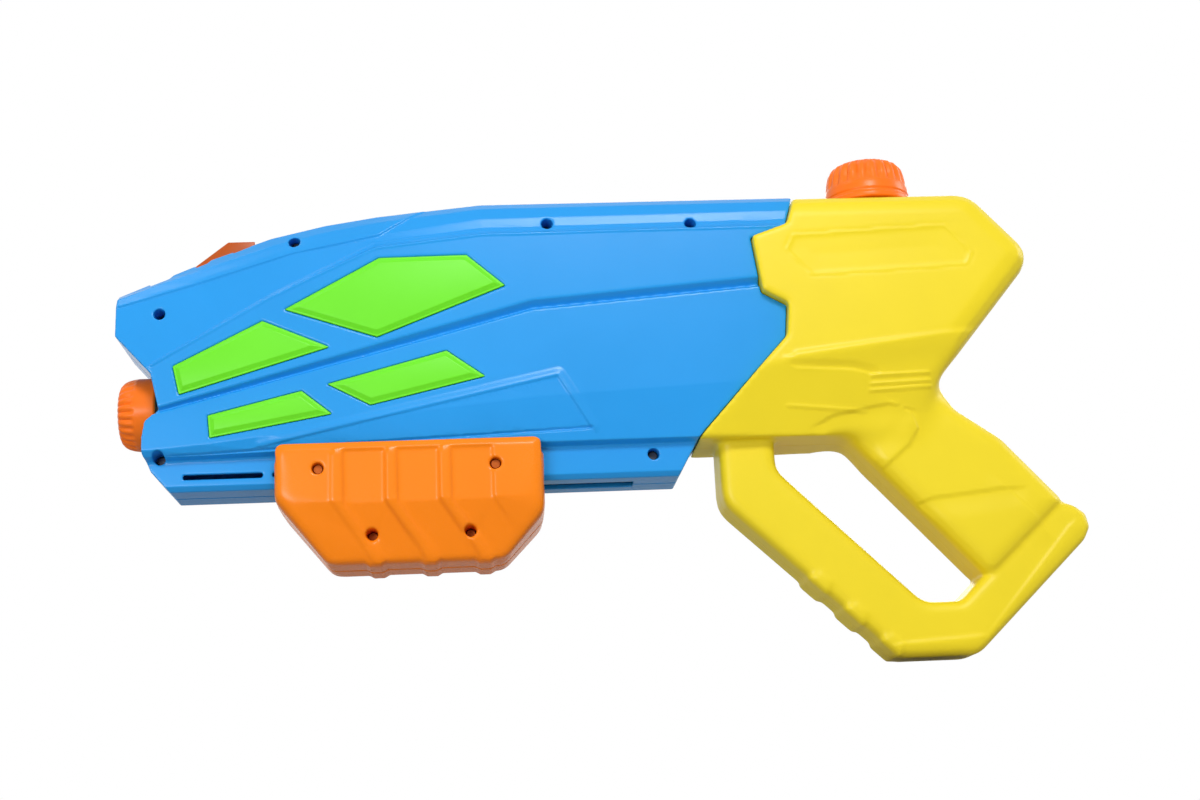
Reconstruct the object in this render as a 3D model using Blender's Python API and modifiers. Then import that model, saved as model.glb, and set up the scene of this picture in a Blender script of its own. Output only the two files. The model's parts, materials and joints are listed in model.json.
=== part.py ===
# Pump-action water squirter.
# Sizes are in millimetres and become metres as meshes are made. The muzzle points to -X, the side with
# the screw recesses faces -Y, and Z = 0 is the flat bottom of the hand loop.
import math

import bmesh
import bpy
from mathutils import Matrix, Vector

MM = 0.001

# Fits
GAP = 0.3
SLIDE_GAP = 0.5
PILOT_GAP = 1.3

# A reach past every face, for cutters
FAR = 400.0

# Barrel: feature lines seen from the side, as (x, z), and how far each stands from the seam
BARREL_AXIS_Z = 146.4
BARREL_WALL = 2.6
TOP_LINE = [(-262, 206), (-190, 235.5), (-138, 247.4), (-66, 254.5), (110, 254.5)]
BAND_LINE = [(-262, 198.5), (-214, 212.3), (-166, 227), (-121, 236.3), (-66, 244), (110, 245)]
RIDGE_LINE = [(-262, 153.3), (-240, 166.3), (-178.8, 202.3), (-123.4, 230.7), (-66, 237), (110, 238)]
RIDGE_STEP = [(-262, 0.5), (-240, 0.6), (-179, 1.5), (-123, 3.5), (110, 3.5)]
GROOVE_LINE = [(-262, 136.2), (-236.5, 143.1), (-112, 176.9), (-40, 196), (110, 208)]
GROOVE_WIDTH = [(-262, 2.4), (-236, 2.8), (-112, 5.2), (110, 5.2)]
BULGE_CREASE = [(-262, 120), (-232, 120.5), (-179, 126.3), (-115, 136), (-40, 143), (110, 150)]
BULGE_BOTTOM = [(-262, 117), (-179, 118.5), (110, 119.5)]
TOP_CROWN = 3.0
TOP_EDGE_Y = 19.0
SHOULDER_Y = 24.0
SHOULDER_FALL = 0.4
BAND_Y = 26.5
SIDE_Y = 31.0
GROOVE_DEPTH = 4.5
GROOVE_FLOOR = 0.75
BULGE_Y = 29.5
BULGE_LIP = 3.0
BULGE_UNDERCUT = 1.5
RAIL_Y = 20.5
RAIL_BOTTOM_Z = 100.0
RAIL_CHAMFER = 2.6
BARREL_STATIONS = [-262, -240, -214, -179, -150, -122, -90, -66, -40, 30, 110]
BARREL_OUTLINE = [
    (-259.8, 275), (-259.8, 183), (-240.6, 161.5), (-236.3, 142.5), (-243.5, 136), (-244.9, 128),
    (-244.9, 119), (-241.5, 111), (-230, 98), (34, 98), (46, 119), (95.5, 172), (97.3, 189.5),
    (84, 197), (80, 228), (99.7, 235), (106.5, 256), (106.5, 275),
]
NOTCHES = [(-243.5, -233), (-219.5, -213), (-199.5, -190)]
NOTCH_DEPTH = 1.6
NOTCH_RISE = 8.0
NOTCH_RUN = 6.0
NOTCH_INNER_Y = 8.5
SEAM_GAP = 0.3
SEAM_OVERLAP = 1.0
SADDLE_XS = [-205, -125]
SADDLE_LOW_Z = 122.0
PLATE_THICKNESS = 2.4
YOKE_BACK = 12.0

# Green inlays: outlines on the barrel's side, and how they sit in their pockets
UPPER_FRONT_INLAY = [(-228.9, 164.7), (-225.6, 149.5), (-147.6, 172.9), (-182.4, 188.1)]
UPPER_REAR_INLAY = [(-170.7, 194.2), (-122.4, 177.8), (-54, 204.5), (-74, 222), (-120.6, 221.5)]
LOWER_FRONT_INLAY = [(-210.9, 138), (-209.9, 126.1), (-146.7, 137), (-162.3, 149.8)]
LOWER_REAR_INLAY = [(-148.7, 153.1), (-126.5, 141.2), (-66, 155), (-86, 169.5)]
INLAY_POCKET = 1.5
INLAY_RIM = 0.9
INLAY_RIM_PROUD = 0.4
INLAY_PROUD = 2.0
INLAY_BEVEL = 2.2

# Sight in the top seam
SIGHT_START_X = -226.0
SIGHT_PEAK_X = -204.0
SIGHT_END_X = -189.5
SIGHT_HALF_WIDTH = 5.0
SIGHT_TOP_Z = 241.5
SIGHT_LIP = 0.8
SIGHT_FLANGE = 2.5
SIGHT_FLANGE_THICKNESS = 1.6

# Nozzle and what is behind it
NOZZLE_FRONT_X = -260.6
NOZZLE_REAR_X = -240.0
NOZZLE_RADIUS = 19.6
NOZZLE_RIM_RADIUS = 17.5
NOZZLE_ORIFICE = 2.4
NOZZLE_FACE = 4.4
NOZZLE_NOSE = 8.0
NOZZLE_GAP = 0.8
SPOUT_RADIUS = 9.6
SPOUT_BORE = 7.4
SEAT_BORE = 4.0
SPOUT_SHOULDER_X = -236.0
SEAL_THICKNESS = 1.2
RETAINER_LENGTH = 2.5
VALVE_RADIUS = 6.2
VALVE_THICKNESS = 2.0
VALVE_STEM_RADIUS = 1.6
VALVE_STEM_LENGTH = 6.0
VALVE_TRAVEL = 3.0
SPRING_WIRE = 0.4
SPRING_RADIUS = 3.2
SPRING_TURNS = 4
SPRING_POINTS = 9

# Pump cylinder and piston
CYLINDER_OUTER = 17.0
CYLINDER_WALL = 2.0
CYLINDER_FRONT_X = -230.0
HEAD_THICKNESS = 3.0
PUMP_FORWARD = 49.0
PUMP_BACK = 51.0
PISTON_LENGTH = 12.0
PISTON_CLEARANCE = 0.6
PISTON_END_GAP = 2.0
RING_GROOVE = 2.4
RING_WIDTH = 3.0
RING_CROWN = 0.4
SOCKET_WALL = 1.5
REAR_CAP_THICKNESS = 5.0
ROD_RADIUS = 4.0
ROD_SHOULDER = 6.0
ROD_SHOULDER_LENGTH = 3.0
ROD_NUT_RADIUS = 7.0
ROD_NUT_LENGTH = 5.0

# Slider on the rail, with the post that drives the rod
POST_LENGTH = 12.0
POST_HALF_WIDTH = 6.0
POST_HEAD = 8.0
SLIDER_WALL = 3.2
SLIDER_HEIGHT = 12.8
SLIDER_SETBACK = 11.3
SLIDER_SKIN = 0.8
KEY_LENGTH = 9.0
KEY_DEPTH = 2.2
KEY_HEIGHT = 1.7
SLOT_LIFT = 7.4
SLOT_HEIGHT = 2.6
SLOT_DEPTH = 4.0
SLOT_BRIDGE = 5.1
FRONT_SLOT_X = (-225.0, -183.6)

# Pump shells
PUMP_FRONT_X = -177.3
PUMP_REAR_MARGIN = 3.0
PUMP_TOP_Z = 122.5
PUMP_BOTTOM_Z = 58.3
PUMP_FRONT_CUT = (27.3, 33.7)
PUMP_REAR_CUT = (22.0, 23.7)
PUMP_Y = 33.0
PUMP_LOW_Y = 28.5
PUMP_CREASE_Z = 90.0
PUMP_WALL = 2.6
PUMP_EDGE = 5.0
PUMP_PANELS = 3
PUMP_PANEL_START = 35.8
PUMP_PANEL_PITCH = 28.0
PUMP_PANEL = [(117, 0, 22.5), (89, 0, 22.5), (58.5, 21.5, 42.5)]
PUMP_PANEL_DEPTH = 1.1

# Tank, grip and loop: corners as (x, z, radius)
TANK_WALL = 2.4
TANK_FRONT_X = 36.0
TANK_TOP_Z = 251.5
BODY_CORNERS = [
    (TANK_FRONT_X, 118.5, 3), (164, 118.5, 6), (179, 148, 10), (235.8, 214.5, 12),
    (203, TANK_TOP_Z, 18), (TANK_FRONT_X, TANK_TOP_Z, 3),
]
BODY_Y = 36.0
BODY_EDGE = 12.0
GRIP_CORNERS = [
    (104, 143.9, 3), (198.3, 38.6, 7), (243, 79.6, 4), (211.5, 115.8, 24), (187.5, 133, 8), (170, 165, 5),
    (110, 165, 5),
]
GRIP_Y = 21.5
GRIP_EDGE = 9.0
LOOP_CORNERS = [
    (58, 128, 1.5), (58, 85.2, 16), (147.4, 0, 7), (189, 0, 12), (265.9, 71.7, 11.3), (238, 81.4, 1.5),
    (181.4, 28.8, 4), (161.7, 28.8, 13), (88, 102.6, 12), (88, 128, 1.5),
]
LOOP_Y = 17.5
LOOP_EDGE = 5.5
LOOP_STEPS = 3
LOOP_STEP_START = 59.4
LOOP_STEP_PITCH = 24.6
LOOP_STEP_LENGTH = 14.0
LOOP_STEP_PROUD = 1.2
LOOP_STEP_DEPTH = 9.0
LOOP_STEP_EDGE = 3.5
LOOP_STEP_CORNER = 1.0
CREASE_LINE = [(40, 147.7), (260, 185.1)]
CREASE_DROP = 40.0
LOWER_BODY_Y = 24.0
BADGE_CORNERS = [
    (98, 218.9, 2), (111, 204.4, 3), (196.6, 208, 3), (200, 215.1, 2), (186, 231.1, 3), (102.3, 227.3, 2),
]
BADGE_DEPTH = 0.9

# Tongue of the tank that the barrel shells close on
TONGUE_FRONT_X = 64.0
TONGUE_REAR_X = 125.0
TONGUE_Y = 22.0
TONGUE_Z = (127.0, 244.0)
TONGUE_EDGE = 4.0
TONGUE_CORNER = 2.0

# Neck, cap and seal
NECK_X = 152.6
NECK_RADIUS = 16.6
NECK_BORE = 13.6
NECK_HEIGHT = 20.0
CAP_CLEARANCE = 1.8
CAP_HEIGHT = 24.6
CAP_BASE_RADIUS = 24.3
CAP_WAIST_RADIUS = 23.0
CAP_TOP_RADIUS = 20.6
CAP_COLLAR = 3.6
CAP_SHOULDER = 13.2
CAP_SEAL_THICKNESS = 1.6

# Water line: tank fitting, feed tube and pickup
LINE_Z = 190.0
LINE_RADIUS = 4.0
LINE_BORE = 2.6
BARB_RADIUS = 2.3
BARB_BORE = 1.4
BARB_LENGTH = 12.0
STUB_RADIUS = 5.5
INLET_BACK = 7.0
FITTING_FLANGE = 8.0
FITTING_FLANGE_THICKNESS = 2.0
GROMMET_RADIUS = 7.0
GROMMET_LIP = 2.0
GROMMET_LIP_THICKNESS = 1.5
OUTLET_RADIUS = 4.4
OUTLET_SOCKET = 3.0
PICKUP_BACK = 22.0
PICKUP_RADIUS = 3.5
PICKUP_BORE = 2.2
PICKUP_BEND = 8.0
PICKUP_BEND_STEPS = 6
FOOT_RADIUS = 6.5
FOOT_WALL = 1.5
FOOT_SEAT = 3.0
FOOT_SOCKET = 3.0
FOOT_INLET = 1.8
BALL_RADIUS = 3.2
BALL_TRAVEL = 3.0

# Screws: places on the side as (x, z)
SCREW_HEAD_RADIUS = 2.8
SCREW_HEAD_LENGTH = 2.0
SCREW_RADIUS = 1.4
RECESS_RADIUS = 3.15
BOSS_WALL = 1.5
BARREL_SCREWS = [(-236.8, 194.5), (-166.2, 234), (-236.7, 117.5), (-30, 240), (48, 238), (22, 112)]
BARREL_SCREW_HEAD_Y = 12.0
BARREL_SCREW_TIP_Y = 11.0
PUMP_LOW_SCREW_Z = 73.0
PUMP_LOW_SCREW_INSETS = (50.4, 39.3)
PUMP_LOW_HEAD_Y = 14.0
PUMP_LOW_TIP_Y = 11.0
PUMP_SIDE_SCREW_INSETS = (23.2, 25.3)

# Where the seats and faces above lead
CYLINDER_BORE = CYLINDER_OUTER - CYLINDER_WALL
PISTON_FRONT_X = CYLINDER_FRONT_X + HEAD_THICKNESS + PISTON_END_GAP + PUMP_FORWARD
PISTON_REAR_X = PISTON_FRONT_X + PISTON_LENGTH
CYLINDER_REAR_X = PISTON_REAR_X + PUMP_BACK + PISTON_END_GAP
REAR_CAP_END_X = CYLINDER_REAR_X + REAR_CAP_THICKNESS
ROD_SHOULDER_X = REAR_CAP_END_X + PUMP_FORWARD + PISTON_END_GAP
POST_FRONT_X = ROD_SHOULDER_X + ROD_SHOULDER_LENGTH + GAP
POST_REAR_X = POST_FRONT_X + POST_LENGTH
ROD_END_X = POST_REAR_X + GAP + ROD_NUT_LENGTH
SLOT_Z = RAIL_BOTTOM_Z + SLOT_LIFT
SLIDER_Y = RAIL_Y + SLIDE_GAP + SLIDER_WALL
SLIDER_FLOOR_Z = RAIL_BOTTOM_Z - SLIDE_GAP - SLIDER_WALL
SLIDER_TOP_Z = RAIL_BOTTOM_Z + SLIDER_HEIGHT
KEY_X = FRONT_SLOT_X[1] + SLOT_BRIDGE + SLIDE_GAP + PUMP_FORWARD
PUMP_REAR_X = POST_REAR_X + PUMP_REAR_MARGIN
PUMP_LIP_Z = SLIDER_TOP_Z + SLIDE_GAP
PUMP_SHELF_Z = SLIDER_FLOOR_Z - GAP
PUMP_SEAT_Y = SLIDER_Y + GAP + PUMP_WALL
SLIDER_FRONT_X = PUMP_FRONT_X + SLIDER_SETBACK
PUMP_CORNERS = [
    (PUMP_FRONT_X, PUMP_TOP_Z, 1.5),
    (PUMP_FRONT_X, PUMP_BOTTOM_Z + PUMP_FRONT_CUT[1], 6),
    (PUMP_FRONT_X + PUMP_FRONT_CUT[0], PUMP_BOTTOM_Z, 6),
    (PUMP_REAR_X - PUMP_REAR_CUT[0], PUMP_BOTTOM_Z, 8),
    (PUMP_REAR_X, PUMP_BOTTOM_Z + PUMP_REAR_CUT[1], 8),
    (PUMP_REAR_X, PUMP_TOP_Z, 1.5),
]
PUMP_LOW_SCREWS = [
    (PUMP_FRONT_X + PUMP_LOW_SCREW_INSETS[0], PUMP_LOW_SCREW_Z),
    (PUMP_REAR_X - PUMP_LOW_SCREW_INSETS[1], PUMP_LOW_SCREW_Z),
]
PUMP_SIDE_SCREW_XS = [PUMP_FRONT_X + PUMP_SIDE_SCREW_INSETS[0], PUMP_REAR_X - PUMP_SIDE_SCREW_INSETS[1]]
SEAL_FRONT_X = NOZZLE_FRONT_X + NOZZLE_FACE + GAP
SPOUT_FRONT_X = SEAL_FRONT_X + SEAL_THICKNESS + GAP
INLET_X = CYLINDER_FRONT_X + INLET_BACK
NECK_TOP_Z = TANK_TOP_Z + NECK_HEIGHT
NECK_LIP_Z = NECK_TOP_Z + GAP + CAP_SEAL_THICKNESS + GAP
CAP_BASE_Z = TANK_TOP_Z + CAP_CLEARANCE
CAP_TOP_Z = CAP_BASE_Z + CAP_HEIGHT
CAP_SHOULDER_Z = CAP_BASE_Z + CAP_SHOULDER
PICKUP_START_X = TONGUE_FRONT_X + TANK_WALL + OUTLET_SOCKET + GAP
OUTLET_END_X = PICKUP_START_X + OUTLET_SOCKET
PICKUP_X = TONGUE_FRONT_X + PICKUP_BACK

COLOURS = {
    "blue": ((0.05, 0.37, 0.86), 0.25),
    "green": ((0.22, 0.87, 0.06), 0.35),
    "orange": ((1.0, 0.26, 0.02), 0.28),
    "cap_orange": ((1.0, 0.21, 0.02), 0.35),
    "yellow": ((0.92, 0.72, 0.04), 0.4),
    "white": ((0.8, 0.8, 0.78), 0.35),
    "rubber": ((0.03, 0.03, 0.03), 0.7),
    "hose": ((0.75, 0.8, 0.78), 0.3),
    "steel": ((0.6, 0.6, 0.62), 0.3),
    "dark_steel": ((0.09, 0.09, 0.095), 0.35),
}
METALS = ("steel", "dark_steel")


def clear_scene():
    for old in list(bpy.data.objects):
        bpy.data.objects.remove(old)


def new_collection(name):
    collection = bpy.data.collections.new(name)
    bpy.context.scene.collection.children.link(collection)
    return collection


def material(colour):
    found = bpy.data.materials.get(colour)
    if found:
        return found
    made = bpy.data.materials.new(colour)
    made.use_nodes = True
    rgb, roughness = COLOURS[colour]
    shader = made.node_tree.nodes["Principled BSDF"]
    shader.inputs["Base Color"].default_value = (*rgb, 1)
    shader.inputs["Roughness"].default_value = roughness
    shader.inputs["Metallic"].default_value = 1.0 if colour in METALS else 0.0
    return made


clear_scene()
PARTS = new_collection("water_squirter")
CUTTERS = new_collection("cutters")


def solid(name, bm):
    """An object from a bmesh in metres, welded and with its faces pointing out."""
    bmesh.ops.remove_doubles(bm, verts=bm.verts, dist=1e-6)
    bmesh.ops.recalc_face_normals(bm, faces=bm.faces)
    mesh = bpy.data.meshes.new(name)
    bm.to_mesh(mesh)
    bm.free()
    made = bpy.data.objects.new(name, mesh)
    CUTTERS.objects.link(made)
    made.hide_render = True
    made.display_type = "WIRE"
    return made


def part(made, name, colour, smooth=None):
    """Turns a working solid into a named piece of the object."""
    CUTTERS.objects.unlink(made)
    PARTS.objects.link(made)
    made.name = name
    made.hide_render = False
    made.display_type = "TEXTURED"
    made.data.materials.append(material(colour))
    if smooth:
        made.data.shade_smooth()
        made.data.set_sharp_from_angle(angle=math.radians(smooth))
    return made


def combine(target, tool, operation="DIFFERENCE"):
    modifier = target.modifiers.new(tool.name, "BOOLEAN")
    modifier.operation = operation
    modifier.object = tool
    return target


def join(target, tool):
    return combine(target, tool, "UNION")


def value_at(line, x):
    """The height of a feature line at x."""
    for (x0, z0), (x1, z1) in zip(line, line[1:]):
        if x <= x1:
            return z0 + (z1 - z0) * (x - x0) / (x1 - x0)
    return line[-1][1]


def block(name, low, high):
    bm = bmesh.new()
    bmesh.ops.create_cube(bm, size=1)
    low, high = Vector(low), Vector(high)
    size = high - low
    scale = Matrix.Diagonal((abs(size.x), abs(size.y), abs(size.z), 1))
    bmesh.ops.transform(bm, matrix=Matrix.Translation((low + high) / 2) @ scale, verts=bm.verts)
    bmesh.ops.scale(bm, vec=(MM, MM, MM), verts=bm.verts)
    return solid(name, bm)


def rod(name, start, end, radius, sides=24):
    """A plain cylinder from one point to another."""
    bm = bmesh.new()
    start, end = Vector(start) * MM, Vector(end) * MM
    along = end - start
    turn = along.to_track_quat("Z", "X").to_matrix().to_4x4()
    bmesh.ops.create_cone(
        bm, cap_ends=True, segments=sides, radius1=radius * MM, radius2=radius * MM, depth=along.length,
        matrix=Matrix.Translation((start + end) / 2) @ turn,
    )
    return solid(name, bm)


def shape_of(made):
    """A bmesh of an object's shape with its modifiers. The object itself isn't kept."""
    bpy.context.scene.collection.objects.link(made)
    bpy.context.view_layer.update()
    mesh = bpy.data.meshes.new_from_object(made.evaluated_get(bpy.context.evaluated_depsgraph_get()))
    bpy.data.objects.remove(made)
    bm = bmesh.new()
    bm.from_mesh(mesh)
    return bm


def turned(name, profile, centre, axis="X", sides=32):
    """A profile of (distance along the axis, radius) turned about an axis through centre."""
    places = [(radius * MM, 0, along * MM) for along, radius in profile]
    edges = [(i, i + 1) for i in range(len(places) - 1)]
    if profile[0][1] > 0:
        edges.append((len(places) - 1, 0))
    mesh = bpy.data.meshes.new(name)
    mesh.from_pydata(places, edges, [])
    made = bpy.data.objects.new(name, mesh)
    screw_turn = made.modifiers.new("turn", "SCREW")
    screw_turn.steps = sides
    screw_turn.render_steps = sides
    screw_turn.use_merge_vertices = True
    screw_turn.merge_threshold = 0.000001
    bm = shape_of(made)
    turns = {
        "Z": Matrix.Identity(4),
        "X": Matrix.Rotation(math.pi / 2, 4, "Y"),
        "Y": Matrix.Rotation(-math.pi / 2, 4, "X"),
    }
    place = Matrix.Translation(Vector(centre) * MM) @ turns[axis]
    bmesh.ops.transform(bm, matrix=place, verts=bm.verts)
    return solid(name, bm)


def curve_shape(name, curve, points):
    """A bmesh of a curve through points."""
    spline = curve.splines.new("POLY")
    spline.points.add(len(points) - 1)
    for point, place in zip(spline.points, points):
        point.co = (*(value * MM for value in place), 1)
    spline.use_cyclic_u = curve.dimensions == "2D"
    return shape_of(bpy.data.objects.new(name, curve))


def slab(name, points, y_from, y_to):
    """A flat outline of (x, z) points, as thick as the stretch between two values of y."""
    curve = bpy.data.curves.new(name, "CURVE")
    curve.dimensions = "2D"
    curve.fill_mode = "BOTH"
    curve.extrude = abs(y_to - y_from) / 2 * MM
    bm = curve_shape(name, curve, [(x, z, 0) for x, z in points])
    stand = Matrix.Translation((0, (y_from + y_to) / 2 * MM, 0)) @ Matrix.Rotation(math.pi / 2, 4, "X")
    bmesh.ops.transform(bm, matrix=stand, verts=bm.verts)
    return solid(name, bm)


def pipe(name, points, radius, fineness=2):
    """A round bar along a path."""
    curve = bpy.data.curves.new(name, "CURVE")
    curve.dimensions = "3D"
    curve.bevel_depth = radius * MM
    curve.bevel_resolution = fineness
    curve.use_fill_caps = True
    return solid(name, curve_shape(name, curve, points))


def loft(name, sections):
    """A solid through closed sections with the same number of points."""
    bm = bmesh.new()
    rings = [[bm.verts.new(Vector(point) * MM) for point in section] for section in sections]
    for ring, other in zip(rings, rings[1:]):
        for i in range(len(ring)):
            j = (i + 1) % len(ring)
            bm.faces.new((ring[i], ring[j], other[j], other[i]))
    bm.faces.new(rings[0])
    bm.faces.new(rings[-1])
    bmesh.ops.triangulate(bm, faces=bm.faces)
    return solid(name, bm)


def crossing(p, d, q, e):
    """Where the line from p along d meets the line from q along e."""
    across = d.x * e.y - d.y * e.x
    if abs(across) < 1e-9:
        return (p + q) / 2
    reach = ((q.x - p.x) * e.y - (q.y - p.y) * e.x) / across
    return p + d * reach


def inset(points, distance):
    """A closed outline, listed anticlockwise, moved inwards."""
    corners = [Vector(point) for point in points]
    lines = []
    for here, after in zip(corners, corners[1:] + corners[:1]):
        along = (after - here).normalized()
        lines.append((here + Vector((-along.y, along.x)) * distance, along))
    moved = []
    for before, after in zip(lines[-1:] + lines[:-1], lines):
        moved.append(tuple(crossing(*before, *after)))
    return moved


def rounded(corners, distance=0.0, steps=3):
    """The points of an outline of (x, z, radius) corners, moved inwards, with its corners as arcs."""
    moved = inset([corner[:2] for corner in corners], distance)
    points = []
    for i, (x, z) in enumerate(moved):
        here = Vector((x, z))
        back = (Vector(moved[i - 1]) - here).normalized()
        on = (Vector(moved[(i + 1) % len(moved)]) - here).normalized()
        convex = back.x * on.y - back.y * on.x < 0
        radius = max(corners[i][2] - distance, 0.3) if convex else corners[i][2] + distance
        half_angle = back.angle(on) / 2
        centre = here + (back + on).normalized() * (radius / math.sin(half_angle))
        reach = radius / math.tan(half_angle)
        first = here + back * reach - centre
        last = here + on * reach - centre
        sweep = first.angle_signed(last)
        for step in range(steps + 1):
            turn = -sweep * step / steps
            cosine, sine = math.cos(turn), math.sin(turn)
            arm = (first.x * cosine - first.y * sine, first.x * sine + first.y * cosine)
            points.append((centre.x + arm[0], centre.y + arm[1]))
    return points


def pillow(name, corners, half_width, edge, wall=0.0, steps=3):
    """A solid of rounded outline and rounded side edges, centred on the seam, or its hollow for a wall."""
    half_width, edge = half_width - wall, max(edge - wall, 0.5)
    layers = []
    for step in range(steps + 1):
        turn = math.pi / 2 * step / steps
        layers.append((-half_width + edge * (1 - math.sin(turn)), edge * (1 - math.cos(turn))))
    layers = list(reversed(layers)) + [(-y, drop) for y, drop in layers]
    return loft(name, [[(x, y, z) for x, z in rounded(corners, wall + drop)] for y, drop in layers])


# Barrel shells


def barrel_chain(x):
    """The barrel's half section at x, from the top of the seam to its bottom, as (depth, z)."""
    top, band = value_at(TOP_LINE, x), value_at(BAND_LINE, x)
    ridge, step = value_at(RIDGE_LINE, x), value_at(RIDGE_STEP, x)
    groove, width = value_at(GROOVE_LINE, x), value_at(GROOVE_WIDTH, x)
    bottom = value_at(BULGE_BOTTOM, x)
    crown = [(TOP_EDGE_Y * share, top + TOP_CROWN * (1 - share ** 2)) for share in (0, 0.6, 1)]
    return crown + [
        (SHOULDER_Y, top + (band - top) * SHOULDER_FALL),
        (BAND_Y, band),
        (SIDE_Y - step, ridge),
        (SIDE_Y, ridge - step),
        (SIDE_Y, groove),
        (SIDE_Y - GROOVE_DEPTH, groove - width * GROOVE_FLOOR),
        (BULGE_Y, groove - width),
        (BULGE_Y, value_at(BULGE_CREASE, x)),
        (BULGE_Y - BULGE_LIP, bottom),
        (RAIL_Y, bottom - BULGE_UNDERCUT),
        (RAIL_Y, RAIL_BOTTOM_Z + RAIL_CHAMFER),
        (RAIL_Y - RAIL_CHAMFER, RAIL_BOTTOM_Z),
        (0, RAIL_BOTTOM_Z),
    ]


def barrel_loft(name, side, wall=0.0):
    """The solid barrel half on one side, or the room inside its wall, which reaches past the seam."""
    sections = []
    for x in BARREL_STATIONS:
        chain = barrel_chain(x)
        if wall:
            up = list(reversed(chain))
            down = [(-depth, z) for depth, z in chain[1:-1]]
            chain = list(reversed(inset(up + down, wall)[: len(up)]))
            chain[0] = (-SEAM_OVERLAP, chain[0][1])
            chain[-1] = (-SEAM_OVERLAP, chain[-1][1])
        sections.append([(x, side * depth, z) for depth, z in chain])
    return loft(name, sections)


def bore(name, x_from, x_to, z, radius, sides=32):
    """A round cutter along the barrel, on the seam."""
    return rod(name, (x_from, 0, z), (x_to, 0, z), radius, sides)


def cross_bore(name, y_from, y_to, x, z, radius, sides=16):
    """A round cutter square to the seam."""
    return rod(name, (x, y_from, z), (x, y_to, z), radius, sides)


def tongue_corners(grow=0.0):
    low, high = TONGUE_Z
    return [
        (TONGUE_FRONT_X - grow, low - grow, TONGUE_CORNER),
        (TONGUE_REAR_X, low - grow, TONGUE_CORNER),
        (TONGUE_REAR_X, high + grow, TONGUE_CORNER),
        (TONGUE_FRONT_X - grow, high + grow, TONGUE_CORNER),
    ]


def barrel_plate(name, side, x):
    """A wall across one half of the barrel."""
    low = (x, -side * SEAM_OVERLAP, RAIL_BOTTOM_Z)
    high = (x + PLATE_THICKNESS, side * FAR, FAR)
    return block(name, low, high)


def notch(name, span, side, wall=0.0):
    """A shallow step in the barrel's top edge, or with a wall what backs it from inside."""
    start, end = span[0] - wall, span[1] + wall
    floor = [(x, value_at(TOP_LINE, x) - NOTCH_DEPTH - wall) for x in (start, end)]
    high = floor[1][1] + NOTCH_RISE
    points = [*floor, (end + NOTCH_RUN, high), (start - GAP, high)]
    return slab(name, points, side * (NOTCH_INNER_Y - wall), side * FAR)


def barrel_cavity(side, label):
    """The room in one barrel half, less the bosses and plates that stand in it."""
    room = barrel_loft(f"{label}_room", side, BARREL_WALL)
    limit = slab(f"{label}_room_limit", inset(BARREL_OUTLINE, BARREL_WALL), -FAR, FAR)
    combine(room, limit, "INTERSECT")
    for number, (x, z) in enumerate(BARREL_SCREWS):
        radius = RECESS_RADIUS + BOSS_WALL
        combine(room, cross_bore(f"{label}_boss_{number}", -side, side * FAR, x, z, radius))
    for number, x in enumerate(SADDLE_XS):
        plate = barrel_plate(f"{label}_saddle_{number}", side, x)
        low = (x - 1, -side * FAR, 0)
        high = (x + PLATE_THICKNESS + 1, side * FAR, SADDLE_LOW_Z)
        window = block(f"{label}_saddle_window_{number}", low, high)
        combine(plate, window)
        combine(room, plate)
    combine(room, barrel_plate(f"{label}_yoke", side, TONGUE_FRONT_X + YOKE_BACK))
    for number, span in enumerate(NOTCHES):
        combine(room, notch(f"{label}_notch_back_{number}", span, side, BARREL_WALL))
    return room


def rail_slot(name, x_from, x_to, side):
    """A cutter for a slot in the side of the rail, at the slider's keys."""
    low, high = SLOT_Z - SLOT_HEIGHT / 2, SLOT_Z + SLOT_HEIGHT / 2
    return block(name, (x_from, side * (RAIL_Y - SLOT_DEPTH), low), (x_to, side * (RAIL_Y + 1), high))


def inlay(name, outline, face_y, side):
    """A green inlay: a slab in its pocket, and a plateau with a wide chamfer inside its rim."""
    floor, rim, outer = [side * (face_y + rise) for rise in (-INLAY_POCKET, INLAY_RIM_PROUD, INLAY_PROUD)]
    made = slab(name, outline, floor, rim)
    rows = ((floor, INLAY_RIM), (rim, INLAY_RIM), (outer, INLAY_RIM + INLAY_BEVEL))
    sections = [[(x, y, z) for x, z in inset(outline, distance)] for y, distance in rows]
    join(made, loft(f"{name}_plateau", sections))
    return made


INLAYS = {
    "upper_front": (UPPER_FRONT_INLAY, SIDE_Y),
    "upper_rear": (UPPER_REAR_INLAY, SIDE_Y),
    "lower_front": (LOWER_FRONT_INLAY, BULGE_Y),
    "lower_rear": (LOWER_REAR_INLAY, BULGE_Y),
}


def seam_top(x):
    return value_at(TOP_LINE, x) + TOP_CROWN


def sight_profile(below):
    """The sight's side outline, whose foot follows the slope of the barrel's top."""
    foot = [(x, seam_top(x) - below) for x in (SIGHT_START_X, SIGHT_END_X)]
    top = [(SIGHT_END_X, SIGHT_TOP_Z), (SIGHT_PEAK_X, SIGHT_TOP_Z)]
    return foot + top + [(SIGHT_START_X, seam_top(SIGHT_START_X) + SIGHT_LIP)]


def sight_flange(name, grow=0.0):
    """The flange that holds the sight from inside the top walls."""
    high = BARREL_WALL + GAP - grow
    low = BARREL_WALL + GAP + SIGHT_FLANGE_THICKNESS + grow
    reach = SIGHT_FLANGE + grow
    ends = (SIGHT_START_X - reach, SIGHT_END_X + reach)
    points = [(x, seam_top(x) - low) for x in ends] + [(x, seam_top(x) - high) for x in reversed(ends)]
    half = SIGHT_HALF_WIDTH + reach
    return slab(name, points, -half, half)


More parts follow.
